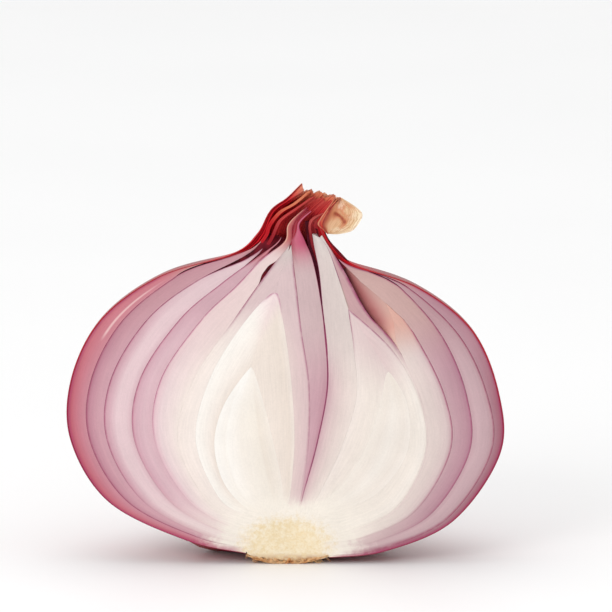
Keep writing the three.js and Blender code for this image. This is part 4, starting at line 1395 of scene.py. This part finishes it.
# Throat linings: dark sheets behind gaps in the neck, coloured near black as painted shade of the gaps.
throatCommon = {
    **membraneCommon, "thick": 0.15, "front": 0.14, "deep": 1.2, "deepFrom": (0.8, 1.0),
    "ripples": [(0.06, 9, 3, 0)], "ramp": [(0.0, 58, 4, 14), (1.0, 58, 4, 14)],
    "clouds": (108, 18, 32), "cloudScale": 600.0, "cloudSteps": (0.35, 0.65),
}
throatLooks = [
    {
        **throatCommon, "piece": "leftThroat", "grid": {"along": 40, "across": 30},
        "fold": [(-14.6, 53.0), (-9.4, 56.0), (-6.4, 57.6), (-4.4, 59.0), (-2.8, 60.6)],
        "rim": [(-8.0, 47.6), (-4.6, 50.8), (-2.0, 54.0), (-0.9, 57.2), (0.0, 59.6)],
    },
    {
        **throatCommon, "piece": "rightThroat", "grid": {"along": 30, "across": 10},
        "fold": [(10.6, 54.2), (8.4, 56.6), (6.6, 58.9), (5.4, 61.4)],
        "rim": [(12.0, 55.0), (9.8, 57.4), (8.1, 59.3), (7.0, 61.4)],
    },
]
for look in (hollowLook, dividerLook):
    finishPiece(leafPiece(look, membraneBend), membraneMaterial(look["piece"], look))
# One near black material, painted shade, lines both throat gaps.
throatPaintedShade = membraneMaterial("throat", throatLooks[0])
for look in throatLooks:
    finishPiece(leafPiece(look, membraneBend), throatPaintedShade)
print("stage: hollow, divider and throat")

plateLook = {
    "piece": "rootPlate", "tips": (4.0, 4.0), "edge": 0.0, "crown": 0.0, "sunk": 0.02,
    "brown": (198, 150, 100), "brownHeights": (0.0022, 0.0006), "fibre": 0.05,
    "brownGrains": (0.3, 0.6, 0.3, 1.0), "rough": 0.6, "bump": (0.5, 0.0002),
}


def plateMaterial(look):
    # Stem tissue: pale yellow grains over cream, brown where it dries towards the underside.
    material, tree, shader = newMaterial(look["piece"])
    tissue = useGroup(tree, stemGroup)
    low = addNode(tree, "ShaderNodeSeparateXYZ", {0: objectPlace(tree)}).outputs[2]
    grain = useGroup(tree, rootGroup)["Grain"]
    brown = times(tree, stepped(tree, low, *look["brownHeights"]), stepped(tree, grain, *look["brownGrains"]))
    base = mixColour(tree, brown, tissue["Colour"], look["brown"])
    base = shaded(tree, base, useGroup(tree, grainGroup, {"Fibre": look["fibre"]})["Shade"])
    dress(tree, shader, base, look["rough"], tissue["Height"], look["bump"])
    return material


platePiece = solidPiece(plateLook, bulb["depthRatio"], grids["plate"])
finishPiece(platePiece, plateMaterial(plateLook), "root_plate")

crustLook = {
    "piece": "rootCrust", "centre": 0.4, "foot": 2.3, "radius": 7.5, "spread": 0.75, "height": 1.75,
    "grid": {"up": 20, "round": 140, "front": 90}, "front": 0.12,
    "waves": [(0.05, 9, 2, 1), (0.05, 23, -3, 0), (0.04, 41, 5, 2)],
    "topShare": 0.1, "topWaves": ((13, 0, 0), (5, 0, 1)), "lumps": (0.12, 17, 9, 0),
    "shredDepth": 0.4, "shreds": ((29, 6, 0), (13, -5, 1)),
    "notch": 0.3, "notches": (1.0, 21, 0, 0), "notchHeights": (1.0, 5, 0, 1),
    "rise": 0.72, "jagShare": 0.4, "jags": ((19, 0, 1), (8, 0, 2)),
    "seed": 11, "roots": 210, "frontRoots": 60, "frontShare": 0.28, "frontTurn": 0.05, "sides": 6, "steps": 6,
    "turnMargin": 0.02, "rises": (0.05, 0.95), "rootRadius": (0.08, 0.2), "rootLength": (0.4, 1.5),
    "lean": 0.5, "wiggle": (0.15, 6, 6), "droop": 0.8, "droopCurve": 1.2, "lift": 0.2, "taper": 0.65,
    "ramp": [(0.3, 132, 74, 36), (0.46, 198, 134, 78), (0.66, 230, 188, 134)],
    "specks": (1400.0, 4.0, 0.65), "clouds": (330.0, 3.0), "cloudSteps": (0.4, 0.65, 0.0, 0.6),
    "straw": (232, 202, 158), "rough": 0.85, "bump": (0.8, 0.0003),
}


def bowlRadius(look, up):
    # Radius of the bowl: foot + (radius - foot)*up^spread.
    return look["foot"] + (look["radius"] - look["foot"]) * up ** look["spread"]


def crustBody(look):
    # A ragged half bowl, waved by sines. In front it has shreds and notches that are products of sines, and
    # it is lower there by sin(angle)^2, in jags.
    grid = look["grid"]
    arc = np.linspace(0, np.pi, grid["round"] + 1)
    chord = np.linspace(-1, 1, grid["front"] + 1)[1:-1]
    angle = np.concatenate([arc, np.arccos(chord)])
    behind = np.concatenate([np.sin(arc), np.zeros(chord.size)])
    front = np.concatenate([np.zeros(arc.size), np.ones(chord.size)])
    up = np.linspace(0, 1, grid["up"] + 1)[:, None]
    radius = bowlRadius(look, up) * (1 + waves(look["waves"], angle, up))
    top = look["height"] * (1 - look["topShare"] + look["topShare"] * crossed(*look["topWaves"], angle))
    shreds = 0.5 + 0.5 * crossed(*look["shreds"], angle, up)
    y = bulb["depthRatio"] * radius * behind + look["front"] - look["shredDepth"] * shreds * front
    lumps = waves([look["lumps"]], angle, up) * np.sin(np.pi * up) * (up > 0)
    notch = waves([look["notches"]], angle) ** 2 * np.abs(waves([look["notchHeights"]], angle))
    notch = look["notch"] * front * (1 - up) ** 2 * notch
    jag = np.abs(crossed(*look["jags"], angle))
    lower = 1 - front * np.sin(angle) ** 2 * (look["rise"] - look["jagShare"] * jag)
    x = look["centre"] + radius * np.cos(angle)
    points = stacked(x, y, (up * top + lumps) * lower + notch)
    rows, count = points.shape[:2]
    return points.reshape(-1, 3), loopFaces(rows, count) + endFaces(rows, count)


def crustRoots(look, first):
    # Tapered roots start on the bowl, lean out by chance, droop with a power of their length and wiggle by a
    # sine. The first of them are moved to the front edges and shortened.
    draw = np.random.default_rng(look["seed"])
    number = look["roots"]
    turn = draw.uniform(look["turnMargin"], np.pi - look["turnMargin"], number)
    isFront = np.arange(number) < look["frontRoots"]
    atFront = np.where(turn > np.pi / 2, np.pi - look["frontTurn"] * (np.pi - turn), look["frontTurn"] * turn)
    turn = np.where(isFront, atFront, turn)
    rise = draw.uniform(*look["rises"], number)
    length = draw.uniform(*look["rootLength"], number) * np.where(isFront, look["frontShare"], 1.0)
    thick = draw.uniform(*look["rootRadius"], number)
    lean = (turn + draw.uniform(-look["lean"], look["lean"], number))[:, None]
    along = np.linspace(0, 1, look["steps"] + 1)
    reach = length[:, None] * along
    height, turns, phase = look["wiggle"]
    wiggle = height * np.sin(turns * along + phase * turn[:, None])
    out = bowlRadius(look, rise)
    x = look["centre"] + (out * np.cos(turn))[:, None] + reach * np.cos(lean) - wiggle * np.sin(lean)
    y = bulb["depthRatio"] * (out * np.sin(turn))[:, None] + reach * np.sin(lean) + wiggle * np.cos(lean)
    z = (rise * look["height"])[:, None] - look["droop"] * reach ** look["droopCurve"]
    z = np.maximum(z, 0.0) + look["lift"]
    spin = np.linspace(0, 2 * np.pi, look["sides"], endpoint=False)
    radius = (thick[:, None] * (1 - look["taper"] * along))[..., None]
    tubeX = x[..., None] - radius * np.sin(lean)[..., None] * np.cos(spin)
    tubeY = y[..., None] + radius * np.cos(lean)[..., None] * np.cos(spin)
    tubeZ = z[..., None] + radius * np.sin(spin)
    points = stacked(tubeX, np.maximum(tubeY, 0.0), np.maximum(tubeZ, 0.0))
    rows = look["steps"] + 1
    offsets = first + np.arange(number)[:, None] * rows * look["sides"]
    tube = np.array(loopFaces(rows, look["sides"]))
    faces = (tube + offsets[..., None]).reshape(-1, 4).tolist()
    for end in endFaces(rows, look["sides"]):
        faces += (np.array(end) + offsets).tolist()
    return points.reshape(-1, 3), faces


def crustMaterial(look):
    # Dried roots: straw to brown in fine specks, the darkest of them partly the roots' own brown and partly
    # painted shade of small hollows.
    material, tree, shader = newMaterial(look["piece"])
    place = objectPlace(tree)
    specks = noise(tree, place, *look["specks"])
    clouds = noise(tree, place, *look["clouds"])
    base = colourRamp(tree, specks, look["ramp"])
    base = mixColour(tree, stepped(tree, clouds, *look["cloudSteps"]), base, look["straw"])
    dress(tree, shader, base, look["rough"], specks, look["bump"])
    return material


bodyPoints, bodyFaces = crustBody(crustLook)
rootPoints, rootFaces = crustRoots(crustLook, len(bodyPoints))
crustPoints = np.concatenate([bodyPoints, rootPoints])
crustShare = {"share": np.zeros(len(crustPoints))}
crustUv = np.zeros((len(crustPoints), 2))
crustPiece = makeMesh(crustLook["piece"], crustPoints, bodyFaces + rootFaces, crustShare, crustUv)
finishPiece(crustPiece, crustMaterial(crustLook), "root_crust")
print("stage: root plate and crust")

# Lengths are in metres, powers in watts, the elevation in degrees, and lens and sensor in mm.
studio = {
    "floorSize": 3.0, "floorShade": (0.97, 0.97, 0.97, 1.0), "floorNoise": (6.0, 2.0),
    "floorRough": (0.3, 0.7, 0.42, 0.5), "world": 0.78, "worldShade": (1.0, 1.0, 1.0, 1.0),
    "key": {"place": (-0.5, -0.8, 0.5), "aim": (0.0, 0.0, 0.03), "size": 0.5, "power": 3.0},
    "top": {"place": (-0.2, 0.5, 2.2), "aim": (0.0, 0.0, 0.0), "size": 2.2, "power": 13.0},
    "pixel": 0.00018, "imageSize": 612, "aim": (0.00378, 0.04745), "elevation": 9.5, "lens": 300.0,
    "sensor": 36.0,
}


def makeFloor():
    material, tree, shader = newMaterial("paleFloor")
    soft = noise(tree, objectPlace(tree), *studio["floorNoise"])
    dress(tree, shader, studio["floorShade"], stepped(tree, soft, *studio["floorRough"]))
    size = studio["floorSize"]
    mesh = bpy.data.meshes.new("floor")
    corners = [(-size, -size, 0), (size, -size, 0), (size, size, 0), (-size, size, 0)]
    mesh.from_pydata(corners, [], [(0, 1, 2, 3)])
    mesh.materials.append(material)
    floor = addObject("floor", mesh)


def makeLight(name):
    look = studio[name]
    lamp = bpy.data.lights.new(name, "AREA")
    lamp.shape = "DISK"
    lamp.size = look["size"]
    lamp.energy = look["power"]
    holder = addObject(name, lamp)
    holder.location = look["place"]
    direction = np.array(look["aim"]) - np.array(look["place"])
    flat = math.hypot(direction[0], direction[1])
    holder.rotation_euler = (math.atan2(flat, -direction[2]), 0.0, math.atan2(-direction[0], direction[1]))


makeFloor()
makeLight("key")
makeLight("top")
world = bpy.data.worlds.new("studio")
world.use_nodes = True
background = world.node_tree.nodes["Background"]
background.inputs["Color"].default_value = studio["worldShade"]
background.inputs["Strength"].default_value = studio["world"]
scene.world = world
scene.view_settings.view_transform = "Standard"

lens = bpy.data.cameras.new("camera")
lens.lens = studio["lens"]
lens.sensor_width = studio["sensor"]
camera = addObject("camera", lens)
distance = studio["pixel"] * studio["imageSize"] * studio["lens"] / studio["sensor"]
tilt = math.radians(studio["elevation"])
camera.location = (
    studio["aim"][0],
    bulb["cutPlane"] - distance * math.cos(tilt),
    studio["aim"][1] + distance * math.sin(tilt),
)
camera.rotation_euler = (math.pi / 2 - tilt, 0.0, 0.0)
bpy.context.scene.camera = camera
print("stage: floor, light and camera")
